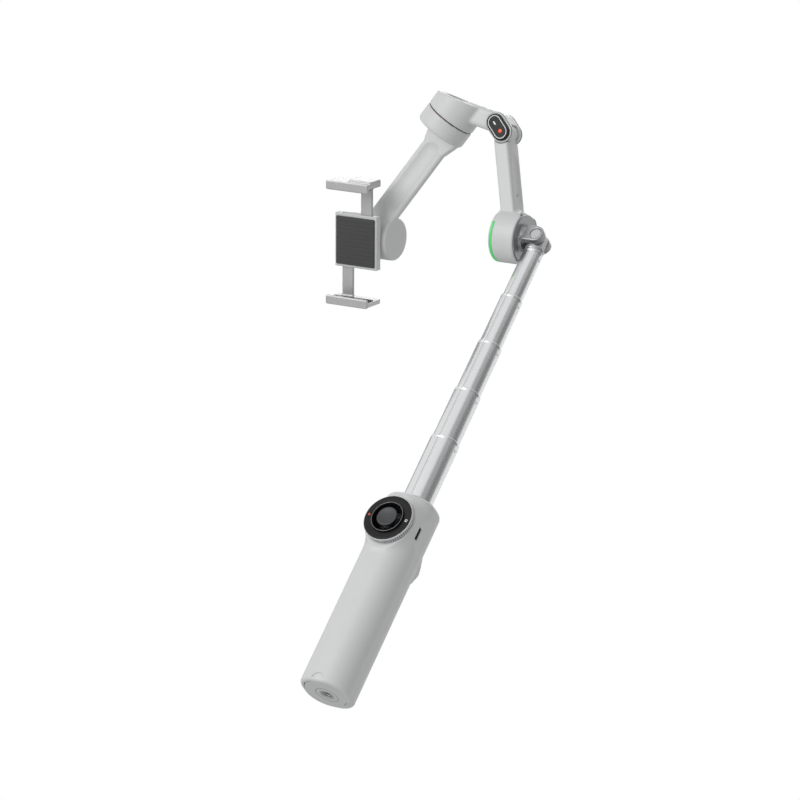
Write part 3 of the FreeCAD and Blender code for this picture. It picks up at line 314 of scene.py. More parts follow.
def withModifiers(mesh, *modifiers):
    helper = newObject("helper", mesh)
    for kind, settings in modifiers:
        modifier = helper.modifiers.new(kind.lower(), kind)
        for key, value in settings.items():
            setattr(modifier, key, value)
    bpy.context.view_layer.update()
    result = bpy.data.meshes.new_from_object(helper.evaluated_get(bpy.context.evaluated_depsgraph_get()))
    bpy.data.objects.remove(helper)
    return result


def smoothShaded(mesh, angle=40):
    mesh.polygons.foreach_set("use_smooth", [True] * len(mesh.polygons))
    mesh.set_sharp_from_angle(angle=math.radians(angle))
    return mesh


def outward(mesh):
    work = bmesh.new()
    work.from_mesh(mesh)
    bmesh.ops.remove_doubles(work, verts=work.verts, dist=1e-7)
    bmesh.ops.recalc_face_normals(work, faces=work.faces)
    work.to_mesh(mesh)
    work.free()
    return mesh


# profile points are (distance from the axis, distance along it); a closed profile makes a closed ring
def lathe(name, profile, centre, axis, steps=96, closed=True):
    axis = Vector(axis).normalized()
    side = axis.orthogonal().normalized()
    other = axis.cross(side)
    centre = Vector(centre)
    points = []
    for i in range(steps):
        turn = 2 * math.pi * i / steps
        spoke = math.cos(turn) * side + math.sin(turn) * other
        points += [centre + spoke * r + axis * t for r, t in profile]
    count = len(profile)
    faces = []
    for i in range(steps):
        near, far = i * count, (i + 1) % steps * count
        for k in range(count if closed else count - 1):
            following = (k + 1) % count
            faces.append((near + k, near + following, far + following, far + k))
    mesh = bpy.data.meshes.new(name)
    mesh.from_pydata([tuple(p) for p in points], [], faces)
    return smoothShaded(outward(mesh), 35)


def arcPoints(centre, radius, start, stop, count):
    return [(centre[0] + radius * math.cos(math.radians(a)), centre[1] + radius * math.sin(math.radians(a)))
            for a in np.linspace(start, stop, count)]


def cadCopy(name):
    mesh = frame["nodes"][name].data.copy()
    work = bmesh.new()
    work.from_mesh(mesh)
    bmesh.ops.remove_doubles(work, verts=work.verts, dist=2e-6)
    work.to_mesh(mesh)
    work.free()
    return mesh


# grip
grip = {"halfWidth": 18 * mm, "front": 18.4 * mm, "back": 17.2 * mm, "corner": 15.5 * mm, "length": 145 * mm,
        "topRound": 4 * mm, "bottomRound": 2.4 * mm, "podRadius": 17.4 * mm, "podFace": 19.2 * mm,
        "podHeight": 120.4 * mm, "blend": 7 * mm, "skin": 1.05 * mm, "seam": 8 * mm,
        "neck": 12.35 * mm, "notch": 4.8 * mm, "notchDeep": 0.5 * mm, "rowStep": 0.8 * mm, "turnStep": 2,
        "searchLow": 8 * mm, "searchHigh": 26 * mm, "searchSteps": 26, "rimIn": 0.9 * mm, "seamRadius": 18.5,
        "hubRadius": 11.5 * mm, "hubReach": 9 * mm}


def gripDistance(x, y, z):
    inX = grip["halfWidth"] - grip["corner"]
    inY = (grip["front"] + grip["back"]) / 2 - grip["corner"]
    middle = (grip["back"] - grip["front"]) / 2
    qx, qy = np.abs(x) - inX, np.abs(y - middle) - inY
    flat = np.hypot(np.maximum(qx, 0), np.maximum(qy, 0)) + np.minimum(np.maximum(qx, qy), 0) - grip["corner"]
    half = grip["length"] / 2
    soft = np.where(z > half, grip["topRound"], grip["bottomRound"])
    a, b = flat + soft, np.abs(z - half) - half + soft
    body = np.hypot(np.maximum(a, 0), np.maximum(b, 0)) + np.minimum(np.maximum(a, b), 0) - soft
    a = np.hypot(x, z - grip["podHeight"]) - grip["podRadius"]
    b = np.abs(y + grip["podFace"] / 2 + 2.5 * mm) - grip["podFace"] / 2 + 2.5 * mm
    pod = np.hypot(np.maximum(a, 0), np.maximum(b, 0)) + np.minimum(np.maximum(a, b), 0)
    share = np.maximum(grip["blend"] - np.abs(body - pod), 0) / grip["blend"]
    return np.minimum(body, pod) - share * share * grip["blend"] / 4


def gripSurface(turns, heights):
    angle, z = np.meshgrid(np.radians(turns), heights)
    low, high = np.full(angle.shape, grip["searchLow"]), np.full(angle.shape, grip["searchHigh"])
    for _ in range(grip["searchSteps"]):
        middle = (low + high) / 2
        outside = gripDistance(middle * np.cos(angle), middle * np.sin(angle), z) > 0
        high = np.where(outside, middle, high)
        low = np.where(outside, low, middle)
    x, y = low * np.cos(angle), low * np.sin(angle)
    return np.clip(x, -grip["halfWidth"], grip["halfWidth"]), np.maximum(y, -grip["podFace"]), z


def gripShell(name, turns):
    rounding = lambda radius: radius * (1 - np.cos(np.radians(np.linspace(8, 90, 8))))
    low = rounding(grip["bottomRound"])
    high = grip["length"] - rounding(grip["topRound"])[::-1]
    heights = np.concatenate([low, np.arange(low[-1], high[0], grip["rowStep"])[1:], high])
    x, y, z = gripSurface(turns, heights)
    rows = [np.stack([x[i], y[i], z[i]], -1) for i in range(len(heights))]
    direction = np.stack([np.cos(np.radians(turns)), np.sin(np.radians(turns))], -1)
    for share in (0.25, 0.6, 1):
        reach = np.hypot(x[-1], y[-1]) * (1 - share) + grip["neck"] * share
        rows.append(np.concatenate([direction * reach[:, None], np.full((len(turns), 1), grip["length"])], 1))
    rim = np.hypot(x[0], y[0]) - grip["rimIn"]
    rows.insert(0, np.concatenate([direction * rim[:, None], np.zeros((len(turns), 1))], 1))
    width = len(turns)
    faces = [(r * width + k, r * width + k + 1, (r + 1) * width + k + 1, (r + 1) * width + k)
             for r in range(len(rows) - 1) for k in range(width - 1)]
    mesh = bpy.data.meshes.new(name)
    mesh.from_pydata([tuple(p) for row in rows for p in row.tolist()], [], faces)
    return withModifiers(mesh, ("SOLIDIFY", {"thickness": grip["skin"], "offset": -1}))


def cutBy(mesh, *tools):
    cutters = [newObject("cutter", tool) for tool in tools]
    cuts = [("BOOLEAN", {"operation": "DIFFERENCE", "object": c, "solver": "EXACT"}) for c in cutters]
    result = withModifiers(mesh, *cuts)
    for cutter in cutters:
        bpy.data.objects.remove(cutter)
    return result


def roundedBox(name, low, high, corner, segments=4):
    work = bmesh.new()
    bmesh.ops.create_cube(work, size=1)
    low, high = Vector(low), Vector(high)
    for vert in work.verts:
        vert.co = Vector((low[i] + (vert.co[i] + 0.5) * (high[i] - low[i])) for i in range(3))
    bmesh.ops.bevel(work, geom=list(work.edges), offset=corner, segments=segments, profile=0.5,
                    affect="EDGES", clamp_overlap=True)
    mesh = bpy.data.meshes.new(name)
    work.to_mesh(mesh)
    work.free()
    return smoothShaded(mesh)


def makeGrip():
    seamTurn = math.degrees(math.asin(grip["seam"] / grip["seamRadius"] / mm))
    frontTurns = np.linspace(-180 - seamTurn, seamTurn, int((180 + 2 * seamTurn) / grip["turnStep"]))
    backTurns = np.linspace(seamTurn + 0.4, 180 - seamTurn - 0.4,
                            int((180 - 2 * seamTurn) / grip["turnStep"]))
    wide, reach = grip["hubRadius"], grip["hubReach"]
    hub = lathe("hubCutter", [(0.01 * mm, -reach), (wide, -reach), (wide, reach), (0.01 * mm, reach)],
                (0, -grip["podFace"], grip["podHeight"]), (0, 1, 0))
    low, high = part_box("usb_port")
    port = roundedBox("portCutter", (low.x - 1 * mm, low.y - 0.15 * mm, low.z - 0.15 * mm),
                      (high.x + 4 * mm, high.y + 0.15 * mm, high.z + 0.15 * mm), 0.9 * mm)
    deep = grip["notchDeep"]
    notch = lathe("notchCutter", [(0.01 * mm, -deep), (grip["notch"] - 0.2 * mm, -deep),
                                  (grip["notch"], 0.2 * mm - deep),
                                  (grip["notch"], 4 * mm), (0.01 * mm, 4 * mm)],
                  (0, -grip["front"], 1 * mm), (0, -1, 0), 48)
    front = cutBy(gripShell("gripFront", frontTurns), hub, port, notch)
    finished("gripFront", smoothShaded(front, 50), "shellGrey", "handle", ("handle_front_shell",))
    low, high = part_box("trigger")
    window = roundedBox("windowCutter", (low.x - 0.3 * mm, low.y - 2 * mm, low.z - 1.2 * mm),
                        (high.x + 0.3 * mm, high.y, high.z + 0.6 * mm), 1 * mm)
    back = cutBy(gripShell("gripBack", backTurns), window)
    finished("gripBack", smoothShaded(back, 50), "shellGrey", "handle", ("handle_back_shell",))
    print("grip shells made")


# dial, panel and stick
dial = {"teeth": 68, "toothWide": 0.85 * mm, "toothProud": 0.5 * mm, "toothLong": 2.4 * mm,
        "radius": 16.45 * mm, "rim": 16.95 * mm, "bore": 11.5 * mm, "rimInner": 16.45 * mm,
        "discEdge": 16.4 * mm, "discHub": 11.2 * mm, "stickReach": 7.1 * mm}


# makes a tree's bars plain mesh in its finish, and hands them out
def closeTree(tree, start, end, spread):
    solid = addNode(tree, "GeometryNodeRealizeInstances", {"Geometry": spread.outputs["Instances"]})
    finish = start.outputs["Finish"]
    done = addNode(tree, "GeometryNodeSetMaterial", {"Geometry": solid.outputs[0], "Material": finish})
    tree.links.new(done.outputs[0], end.inputs[0])
    return tree


def makeRingTree():
    tree, start, end = newGroup("ringOfBars", "GeometryNodeTree", (
        ("Count", "NodeSocketInt", 12), ("Radius", "NodeSocketFloat", 0.01),
        ("Bar", "NodeSocketVector", (0.001, 0.001, 0.001)),
        ("Finish", "NodeSocketMaterial", None)), (("Geometry", "NodeSocketGeometry"),))
    circle = addNode(tree, "GeometryNodeMeshCircle", {"Vertices": start.outputs["Count"],
                                                      "Radius": start.outputs["Radius"]})
    bar = addNode(tree, "GeometryNodeMeshCube", {"Size": start.outputs["Bar"]})
    place = addNode(tree, "GeometryNodeInputPosition").outputs[0]
    facing = addNode(tree, "FunctionNodeAlignRotationToVector", {"Vector": place}, axis="X", pivot_axis="Z")
    spread = addNode(tree, "GeometryNodeInstanceOnPoints", {"Points": circle.outputs["Mesh"],
                                                            "Instance": bar.outputs["Mesh"],
                                                            "Rotation": facing.outputs[0]})
    return closeTree(tree, start, end, spread)


# runs a tree with named inputs and gives its plain mesh
def grown(tree, **values):
    helper = newObject("grower", bpy.data.meshes.new("grower"))
    modifier = helper.modifiers.new("grow", "NODES")
    modifier.node_group = tree
    for item in tree.interface.items_tree:
        if item.in_out == "INPUT" and item.name in values:
            modifier[item.identifier] = values[item.name]
    bpy.context.view_layer.update()
    result = bpy.data.meshes.new_from_object(helper.evaluated_get(bpy.context.evaluated_depsgraph_get()))
    bpy.data.objects.remove(helper)
    return result


def standingOn(centre, axis, side):
    axis, side = Vector(axis).normalized(), Vector(side)
    side = (side - axis * side.dot(axis)).normalized()
    return Matrix.Translation(centre) @ Matrix((side, axis.cross(side), axis)).transposed().to_4x4()


ringTree = makeRingTree()


def makeDial():
    low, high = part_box("zoom_dial")
    centre = Vector((0, 0, grip["podHeight"]))
    back, front = -high.y, -low.y                       # distances in front of the handle's axis
    panelLow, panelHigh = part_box("control_panel")
    face = -panelLow.y
    ahead = (0, -1, 0)
    r, rim, bore, seat = dial["radius"], dial["rim"], dial["bore"], dial["rimInner"]
    profile = [(bore, back + 0.1 * mm), (bore + 0.1 * mm, back), (r - 0.2 * mm, back), (r, back + 0.2 * mm),
               (r, front - 0.5 * mm), (rim, front - 0.3 * mm), (rim, front + 0.5 * mm),
               (rim - 0.15 * mm, front + 0.8 * mm),
               (seat + 0.1 * mm, face - 0.35 * mm), (seat, face - 0.5 * mm), (seat, front), (bore, front)]
    finished("zoomDialRing", lathe("zoomDialRing", profile, centre, ahead, 120), "shellGrey", "zoom_dial",
             ("zoom_dial",))
    # a dark band under the knurl teeth: painted shade in the grooves between them
    band = [(r - 0.6 * mm, back + 0.3 * mm), (r + 0.06 * mm, back + 0.3 * mm),
            (r + 0.06 * mm, front - 0.5 * mm), (r - 0.6 * mm, front - 0.5 * mm)]
    finished("zoomDialGrooveShade", lathe("zoomDialGrooveShade", band, centre, ahead, 120), "paintedGrooveShade", "zoom_dial")
    teeth = grown(ringTree, Count=dial["teeth"], Radius=r, Finish=paint["shellGrey"],
                  Bar=(2 * dial["toothProud"], dial["toothWide"], dial["toothLong"]))
    teeth.transform(standingOn(centre - Vector((0, (back + front) / 2 - 0.15 * mm, 0)), (0, -1, 0),
                               (1, 0, 0)))
    finished("zoomDialTeeth", teeth, "shellGrey", "zoom_dial")

    edge, hub = dial["discEdge"], dial["discHub"]
    depth = -panelHigh.y
    profile = [(hub - 1 * mm, depth), (hub, depth), (hub, front + 0.3 * mm),
               (edge - 0.1 * mm, front + 0.3 * mm), (edge, front + 0.5 * mm), (edge, face - 0.35 * mm)]
    profile += arcPoints((edge - 0.35 * mm, face - 0.35 * mm), 0.35 * mm, 10, 90, 5)
    profile += [(edge - 2 * mm, face - 0.06 * mm), (hub + 0.4 * mm, face - 0.22 * mm),
                (hub - 1 * mm, face - 0.25 * mm)]
    finished("controlDisc", lathe("controlDisc", profile, centre, ahead, 120), "pianoBlack", "handle",
             ("control_panel",))
    lip = face - 0.1 * mm
    profile = [(hub + 0.35 * mm, lip - 0.1 * mm), (hub + 0.1 * mm, lip + 0.7 * mm)]
    profile += arcPoints((hub - 0.35 * mm, lip + 0.9 * mm), 0.45 * mm, 20, 150, 7)
    profile += [(hub - 1.1 * mm, lip + 0.4 * mm), (hub - 1.6 * mm, lip - 1 * mm),
                (hub - 1.6 * mm, lip - 1.6 * mm),
                (hub - 0.98 * mm, lip - 1.6 * mm), (hub - 0.98 * mm, lip - 0.1 * mm)]
    finished("stickBezel", lathe("stickBezel", profile, centre, ahead, 120), "pianoBlack", "handle",
             ("joystick_bezel",))
    profile = [(hub - 0.2 * mm, lip + 1.26 * mm), (hub - 0.3 * mm, lip + 1.38 * mm),
               (hub - 0.5 * mm, lip + 1.36 * mm), (hub - 0.45 * mm, lip + 1.2 * mm)]
    finished("bezelGlint", lathe("bezelGlint", profile, centre, ahead, 120), "glintSteel", "handle")

    low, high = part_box("joystick_cap")
    tip, reach = -low.y, dial["stickReach"]
    pivot = jointOf["stick_up"]["pos_m"]
    profile = [(0.01 * mm, tip - 0.55 * mm), (3 * mm, tip - 0.5 * mm), (5 * mm, tip - 0.25 * mm),
               (6 * mm, tip - 0.05 * mm)]
    profile += arcPoints((reach - 0.8 * mm, tip - 0.8 * mm), 0.8 * mm, 80, -10, 7)
    profile += [(reach - 0.5 * mm, tip - 2.2 * mm), (1.8 * mm, tip - 2.4 * mm),
                (1.6 * mm, -pivot[1] + 2 * mm),
                (2.2 * mm, -pivot[1]), (1.4 * mm, -pivot[1] - 1.7 * mm), (0.01 * mm, -pivot[1] - 2.2 * mm)]
    finished("stickCap", lathe("stickCap", profile, centre, ahead, 80), "stickGrey", "stick",
             ("joystick_cap",))

    # the orange sign has a painted glow; the white one is plain print
    marks = {"markOrangePaintedGlow": (-13.9 * mm, 1.2 * mm, 3), "markWhite": (13.9 * mm, 1.25 * mm, 4)}
    for finish, (across, size, sides) in marks.items():
        shape = [(size, -0.1 * mm), (size, 0.06 * mm), (0.5 * size, 0.06 * mm), (0.5 * size, -0.1 * mm)]
        if sides == 3:
            shape[2:] = [(0.01 * mm, 0.06 * mm), (0.01 * mm, -0.1 * mm)]
        mark = lathe(finish, shape, centre + Vector((across, -face + 0.1 * mm, 0)), ahead, sides)
        finished(finish + "Sign", mark, finish, "handle")
    print("dial and stick made")


# the foot's ring, a dark line of painted groove shade, and the threaded socket in its middle
foot = {"ring": 7.6 * mm, "ringWide": 0.35 * mm, "threadInner": 3.2 * mm, "threadTurns": 5}


def makeFoot():
    ring, wide = foot["ring"], foot["ringWide"]
    # a flat dark ring where the groove is: painted shade
    groove = [(ring, -0.02 * mm), (ring + wide, -0.02 * mm), (ring + wide, 0.3 * mm), (ring, 0.3 * mm)]
    finished("footGrooveShade", lathe("footGrooveShade", groove, (0, 0, 0), (0, 0, 1), 72), "paintedGrooveShade", "tripod")
    low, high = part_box("thread_insert")
    outer, inner = high.x, foot["threadInner"]
    turns = foot["threadTurns"]
    pitch = (high.z - low.z) / turns
    profile = [(outer - 0.05 * mm, high.z), (outer - 0.05 * mm, low.z + 0.3 * mm),
               (outer - 0.4 * mm, low.z - 0.05 * mm), (inner + 0.6 * mm, low.z - 0.05 * mm)]
    for i in range(turns):
        profile += [(inner, low.z + (i + 0.35) * pitch), (inner, low.z + (i + 0.5) * pitch),
                    (inner + 0.5 * mm, low.z + (i + 0.9) * pitch)]
    profile.append((inner, high.z))
    finished("threadSocket", lathe("threadSocket", profile, (0, 0, 0), (0, 0, 1), 72), "turnedSteel",
             "tripod", ("thread_insert",))
    print("foot made")


# rod
rod = {"wall": 0.45 * mm, "keyDeep": 0.32 * mm, "keyHalf": 0.42 * mm, "crimpDown": 2.4 * mm,
       "crimpDeep": 0.14 * mm, "lip": 0.25 * mm, "detentDown": 6 * mm, "detent": 0.9 * mm,
       "keyShares": (0.5, 0.9, 1.15, 1.5, 1.9)}


def makeRod():
    for stage in range(1, 6):
        low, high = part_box(f"rod_stage_{stage}")
        radius = (high.x - low.x) / 2
        key = math.degrees(rod["keyHalf"] / radius)
        turns = set(range(0, 360, 5))
        for middle in (90, 270):
            turns |= {middle + side * key * share for side in (-1, 1) for share in rod["keyShares"]}
        turns = np.array(sorted(turns))
        away = np.minimum(np.abs(turns - 90), np.abs(turns - 270)) / key
        dip = rod["keyDeep"] * (1 - np.clip((away - 0.8) / 0.7, 0, 1))
        top = high.z
        crimp = top - rod["crimpDown"]
        levels = [(low.z, 0), (crimp - 0.5 * mm, 0), (crimp - 0.15 * mm, rod["crimpDeep"]),
                  (crimp + 0.15 * mm, rod["crimpDeep"]),
                  (crimp + 0.5 * mm, 0), (top - 0.5 * mm, 0), (top - 0.2 * mm, 0.08 * mm), (top, rod["lip"])]
        rings = [(z, radius - inset) for z, inset in levels]
        rings += [(top, radius - rod["wall"]), (low.z, radius - rod["wall"])]
        points, faces = [], []
        count = len(turns)
        for z, r in rings:
            reach = r - dip
            points += np.stack([reach * np.cos(np.radians(turns)), reach * np.sin(np.radians(turns)),
                                np.full(count, z)], -1).tolist()
        for i in range(len(rings)):
            near, far = i * count, (i + 1) % len(rings) * count
            faces += [(near + k, near + (k + 1) % count, far + (k + 1) % count, far + k)
                      for k in range(count)]
        mesh = bpy.data.meshes.new("tube")
        mesh.from_pydata(points, [], faces)
        finished(f"rodTube{stage}", smoothShaded(outward(mesh), 40), "drawnAluminium",
                 bodyOf[f"rod_stage_{stage}"], (f"rod_stage_{stage}",))
        for side in (1, -1):
            dent = [(0.01 * mm, -0.3 * mm), (rod["detent"], -0.3 * mm), (rod["detent"], 0.02 * mm),
                    (rod["detent"] - 0.2 * mm, 0.08 * mm), (rod["detent"] - 0.45 * mm, -0.12 * mm),
                    (0.01 * mm, -0.2 * mm)]
            place = (side * (radius - 0.02 * mm), 0, top - rod["detentDown"])
            name = f"rodDetent{stage}{'Right' if side == 1 else 'Left'}"
            finished(name, lathe(name, dent, place, (side, 0, 0), 20), "castSteel",
                     bodyOf[f"rod_stage_{stage}"])
    print("rod made")


# softly blended castings
castings = {
    "panCasting": {"nodes": ("pan_arm", "arm_cover"), "cell": 0.62 * mm, "passes": 9, "finish": "shellGrey"},
    "rollCasting": {"nodes": ("roll_housing",), "cell": 0.62 * mm, "passes": 14, "finish": "shellGrey"},
    "armCasting": {"nodes": ("roll_arm", "roll_arm_panel"), "cell": 0.7 * mm, "passes": 12,
                   "finish": "shellGrey"},
    "foldCasting": {"nodes": ("fold_block",), "cell": 0.4 * mm, "passes": 5, "finish": "shellGrey"},
    "clampCasting": {"nodes": ("clamp_frame",), "cell": 0.6 * mm, "passes": 4, "finish": "shellGrey"},
    "triggerCasting": {"nodes": ("trigger",), "cell": 0.45 * mm, "passes": 16, "finish": "shellGrey"},
    "knuckleCasting": {"nodes": ("pan_knuckle",), "cell": 0.4 * mm, "passes": 4, "finish": "knucklePaint"},
    "tipCasting": {"nodes": ("rod_tip",), "cell": 0.35 * mm, "passes": 3, "finish": "castSteel"},
    "upperJawCasting": {"nodes": ("upper_jaw",), "cell": 0.42 * mm, "passes": 18,
                        "finish": "blastedAluminium"},
    "lowerJawCasting": {"nodes": ("lower_jaw",), "cell": 0.42 * mm, "passes": 18,
                        "finish": "blastedAluminium"},
}
frontward = -Vector(jointOf["fold"]["axis"])       # out of the arms' plane, towards the phone's screen side
armUp = frontward.cross(Vector((1, 0, 0)))
inlays = {
    "armChannel": {"casting": "armCasting", "deep": 1.7 * mm, "half": 6.5 * mm, "gap": 0.3 * mm,
                   "finish": "shellGrey"},
    "sideCover": {"casting": "panCasting", "deep": 0.5 * mm, "half": 5.4 * mm, "gap": 0.3 * mm,
                  "finish": "capGrey", "lean": 16.5, "dimple": 0.95 * mm},
}


# a node's lowest and highest corners, measured along the axes of a place
def boxAlong(name, place):
    back = place.inverted()
    points = np.array([back @ v.co for v in frame["nodes"][name].data.vertices])
    return Vector(points.min(0)), Vector(points.max(0))


def inlayPlace(name):
    if name == "armChannel":
        along, out = Vector(jointOf["roll"]["axis"]), frontward
        return "roll_arm_panel", standingOn(Vector(jointOf["roll"]["pos_m"]), out, along.cross(out))
    lean = math.radians(inlays[name]["lean"])
    along = armUp * math.cos(lean) - Vector((1, 0, 0)) * math.sin(lean)
    out = armUp * math.sin(lean) + Vector((1, 0, 0)) * math.cos(lean)
    return "arm_cover", standingOn(Vector(jointOf["pan"]["pos_m"]), out, along.cross(out))


# a long dish with round ends is sunk into the casting, and a cover of the same curve lies in it
def sinkInlay(name, mesh, body):
    spec = inlays[name]
    node, place = inlayPlace(name)
    low, high = boxAlong(node, place)
    face, half, deep = high.z + 0.1 * mm, spec["half"], spec["deep"]
    bend = (half * half + deep * deep) / (2 * deep)
    middle = (low.x + high.x) / 2
    start, end = low.y + half, high.y - half
    reach = end - start
    centre = place @ Vector((middle, start, face + bend - deep))
    along = place.to_3x3() @ Vector((0, 1, 0))
    capsule = arcPoints((0, 0), bend, -89.9, 0, 40) + [(r, t + reach) for r,
                                                       t in arcPoints((0, 0), bend, 0, 89.9, 40)]
    mesh = cutBy(mesh, lathe("dishCutter", capsule, centre, along, 160))
    level = lambda r: bend - deep - math.sqrt(bend * bend - r * r) + 0.06 * mm
    edge = half - spec["gap"]
    rings = [(edge, -deep - 0.3 * mm), (edge, level(edge) - 0.05 * mm), (edge - 0.08 * mm, level(edge))]
    rings += [(r, level(r)) for r in np.linspace(edge - 0.5 * mm, 0.05 * mm, 9)]
    seat = place @ Matrix.Translation((middle, start, face)) @ Matrix.Rotation(math.pi / 2, 4, "Z")
    cover = stadiumPlate(name, seat, reach, rings)
    finished(name, cover, spec["finish"], body)
    if "dimple" in spec:
        size = spec["dimple"]
        bead = [(0.01 * mm, -0.3 * mm), (size, -0.3 * mm), (size, 0.1 * mm), (size - 0.2 * mm, 0.16 * mm),
                (size - 0.45 * mm, 0), (0.01 * mm, -0.1 * mm)]
        at = place @ Vector((middle, start + 1.5 * mm, face + level(1.5 * mm)))
        finished(name + "Plug", lathe("plug", bead, at, place.to_3x3() @ Vector((0, 0, 1)), 24),
                 "knucklePaint", body)
    return mesh


def joinedCopy(names):
    work = bmesh.new()
    for name in names:
        work.from_mesh(cadCopy(name))
    mesh = bpy.data.meshes.new("joined")
    work.to_mesh(mesh)
    work.free()
    return mesh


def makeCastings():
    for name, spec in castings.items():
        body = bodyOf[spec["nodes"][0]]
        mesh = withModifiers(joinedCopy(spec["nodes"]), ("REMESH",
                                                         {"mode": "VOXEL", "voxel_size": spec["cell"]}),
                             ("SMOOTH", {"factor": 0.5, "iterations": spec["passes"]}))
        for inlay in inlays:
            if inlays[inlay]["casting"] == name:
                mesh = sinkInlay(inlay, mesh, body)
        finished(name, smoothShaded(mesh, 50), spec["finish"], body, spec["nodes"])
        print(name, len(mesh.polygons))


# folding joint's cap
pill = {"turn": 134.4, "outer": 6 * mm, "length": 8.3 * mm, "ring": 4.75 * mm, "ringWide": 0.5 * mm,
        "rise": 2.4 * mm, "blockRadius": 7.3 * mm, "arcSteps": 14}


# a plate with two round ends: rings are (radius, height) from the foot, over the edge, to the middle
def stadiumPlate(name, place, length, rings, closed=False):
    half = pill["arcSteps"]
    points, faces = [], []
    for radius, height in rings:
        for end, first in ((1, -90), (0, 90)):
            for k in range(half + 1):
                turn = math.radians(first + 180 * k / half)
                points.append((end * length + radius * math.cos(turn), radius * math.sin(turn), height))
    count = 2 * (half + 1)
    for i in range(len(rings) if closed else len(rings) - 1):
        near, far = i * count, (i + 1) % len(rings) * count
        faces += [(near + k, near + (k + 1) % count, far + (k + 1) % count, far + k) for k in range(count)]
    if not closed:
        faces += [tuple(range(count))[::-1], tuple(range((len(rings) - 1) * count, len(rings) * count))]
    mesh = bpy.data.meshes.new(name)
    mesh.from_pydata(points, [], faces)
    mesh.transform(place)
    return smoothShaded(outward(mesh), 35)


def makePill():
    joint = jointOf["fold"]
    turn = math.radians(pill["turn"])
    along = Vector((1, 0, 0)) * math.cos(turn) + armUp * math.sin(turn)
    place = standingOn(Vector(joint["pos_m"]), frontward, along)
    foot = pill["blockRadius"] + 0.5 * mm
    top = foot + pill["rise"]
    outer, ring = pill["outer"], pill["ring"]
    rings = [(outer, foot), (outer, top - 0.6 * mm)] + arcPoints((outer - 0.5 * mm, top - 0.5 * mm), 0.5 * mm,
                                                                 0, 90, 5)
    rings += [(ring + 0.15 * mm, top), (ring + 0.05 * mm, top - 0.12 * mm),
              (ring - 0.7 * mm, top - 0.12 * mm),
              (ring - 0.8 * mm, top - 0.3 * mm), (0.3 * mm, top - 0.3 * mm)]
    finished("pillCap", stadiumPlate("pillCap", place, pill["length"], rings), "pianoBlack", "fold_unit",
             ("hinge_cap",))
    wide = pill["ringWide"]
    rings = [(ring, top - 0.15 * mm), (ring, top + 0.02 * mm), (ring - wide, top + 0.02 * mm),
             (ring - wide, top - 0.15 * mm)]
    # the pale ring on the cap glows with painted light
    finished("pillRing", stadiumPlate("pillRing", place, pill["length"], rings, True), "paleRingPaintedGlow",
             "fold_unit")
    level = top - 0.32 * mm
    shape = [(0.01 * mm, level - 0.1 * mm), (1.45 * mm, level - 0.1 * mm), (1.45 * mm, level + 0.1 * mm),
             (1.2 * mm, level + 0.2 * mm), (0.01 * mm, level + 0.22 * mm)]
    # orange dot, with a painted glow
    finished("pillDot", lathe("pillDot", shape, Vector(joint["pos_m"]) + along * 0.6 * mm, frontward, 32),
             "markOrangePaintedGlow", "fold_unit")
    window = place @ Matrix.Translation((pill["length"] - 1.6 * mm, 0.3 * mm, 0))
    rings = [(0.55 * mm, level - 0.1 * mm), (0.55 * mm, level + 0.12 * mm), (0.3 * mm, level + 0.16 * mm)]
    finished("pillWindow", stadiumPlate("pillWindow", window, 2 * mm, rings), "markWhite", "fold_unit")
    for name, level in (("gasketFront", pill["blockRadius"] + 0.1 * mm),
                        ("gasketBack", -pill["blockRadius"] + 0.2 * mm)):
        radius = pill["blockRadius"] + 0.12 * mm
        rings = [(radius, level - 0.3 * mm), (radius + 0.1 * mm, level), (radius, level + 0.3 * mm),
                 (radius - 0.9 * mm, level + 0.3 * mm), (radius - 0.9 * mm, level - 0.3 * mm)]
        finished(name, stadiumPlate(name, place, pill["length"], rings, True), "softBlack", "fold_unit")
    print("pill cap made")


# rubber pads of the clamp, with rows of ribs
pads = {
    "clampPad": {"node": "clamp_pad", "ribs": 11, "ribWide": 0.9 * mm, "margin": 3 * mm, "corner": 1 * mm},
    "upperGrip": {"node": "upper_jaw_pad", "ribs": 5, "ribWide": 0.6 * mm, "margin": 1 * mm,
                  "corner": 0.3 * mm},
    "lowerGrip": {"node": "lower_jaw_pad", "ribs": 5, "ribWide": 0.6 * mm, "margin": 1 * mm,
                  "corner": 0.3 * mm},
}


def makeRowTree():
    tree, start, end = newGroup("rowOfBars", "GeometryNodeTree", (
        ("Count", "NodeSocketInt", 8), ("First", "NodeSocketVector", (0, 0, 0)),
        ("Step", "NodeSocketVector", (0, 0.001, 0)),
        ("Bar", "NodeSocketVector", (0.001, 0.001, 0.001)), ("Finish", "NodeSocketMaterial", None)),
        (("Geometry", "NodeSocketGeometry"),))
    line = addNode(tree, "GeometryNodeMeshLine", {"Count": start.outputs["Count"],
                                                  "Start Location": start.outputs["First"],
                                                  "Offset": start.outputs["Step"]})
    bar = addNode(tree, "GeometryNodeMeshCube", {"Size": start.outputs["Bar"]})
    spread = addNode(tree, "GeometryNodeInstanceOnPoints", {"Points": line.outputs["Mesh"],
                                                            "Instance": bar.outputs["Mesh"]})
    return closeTree(tree, start, end, spread)


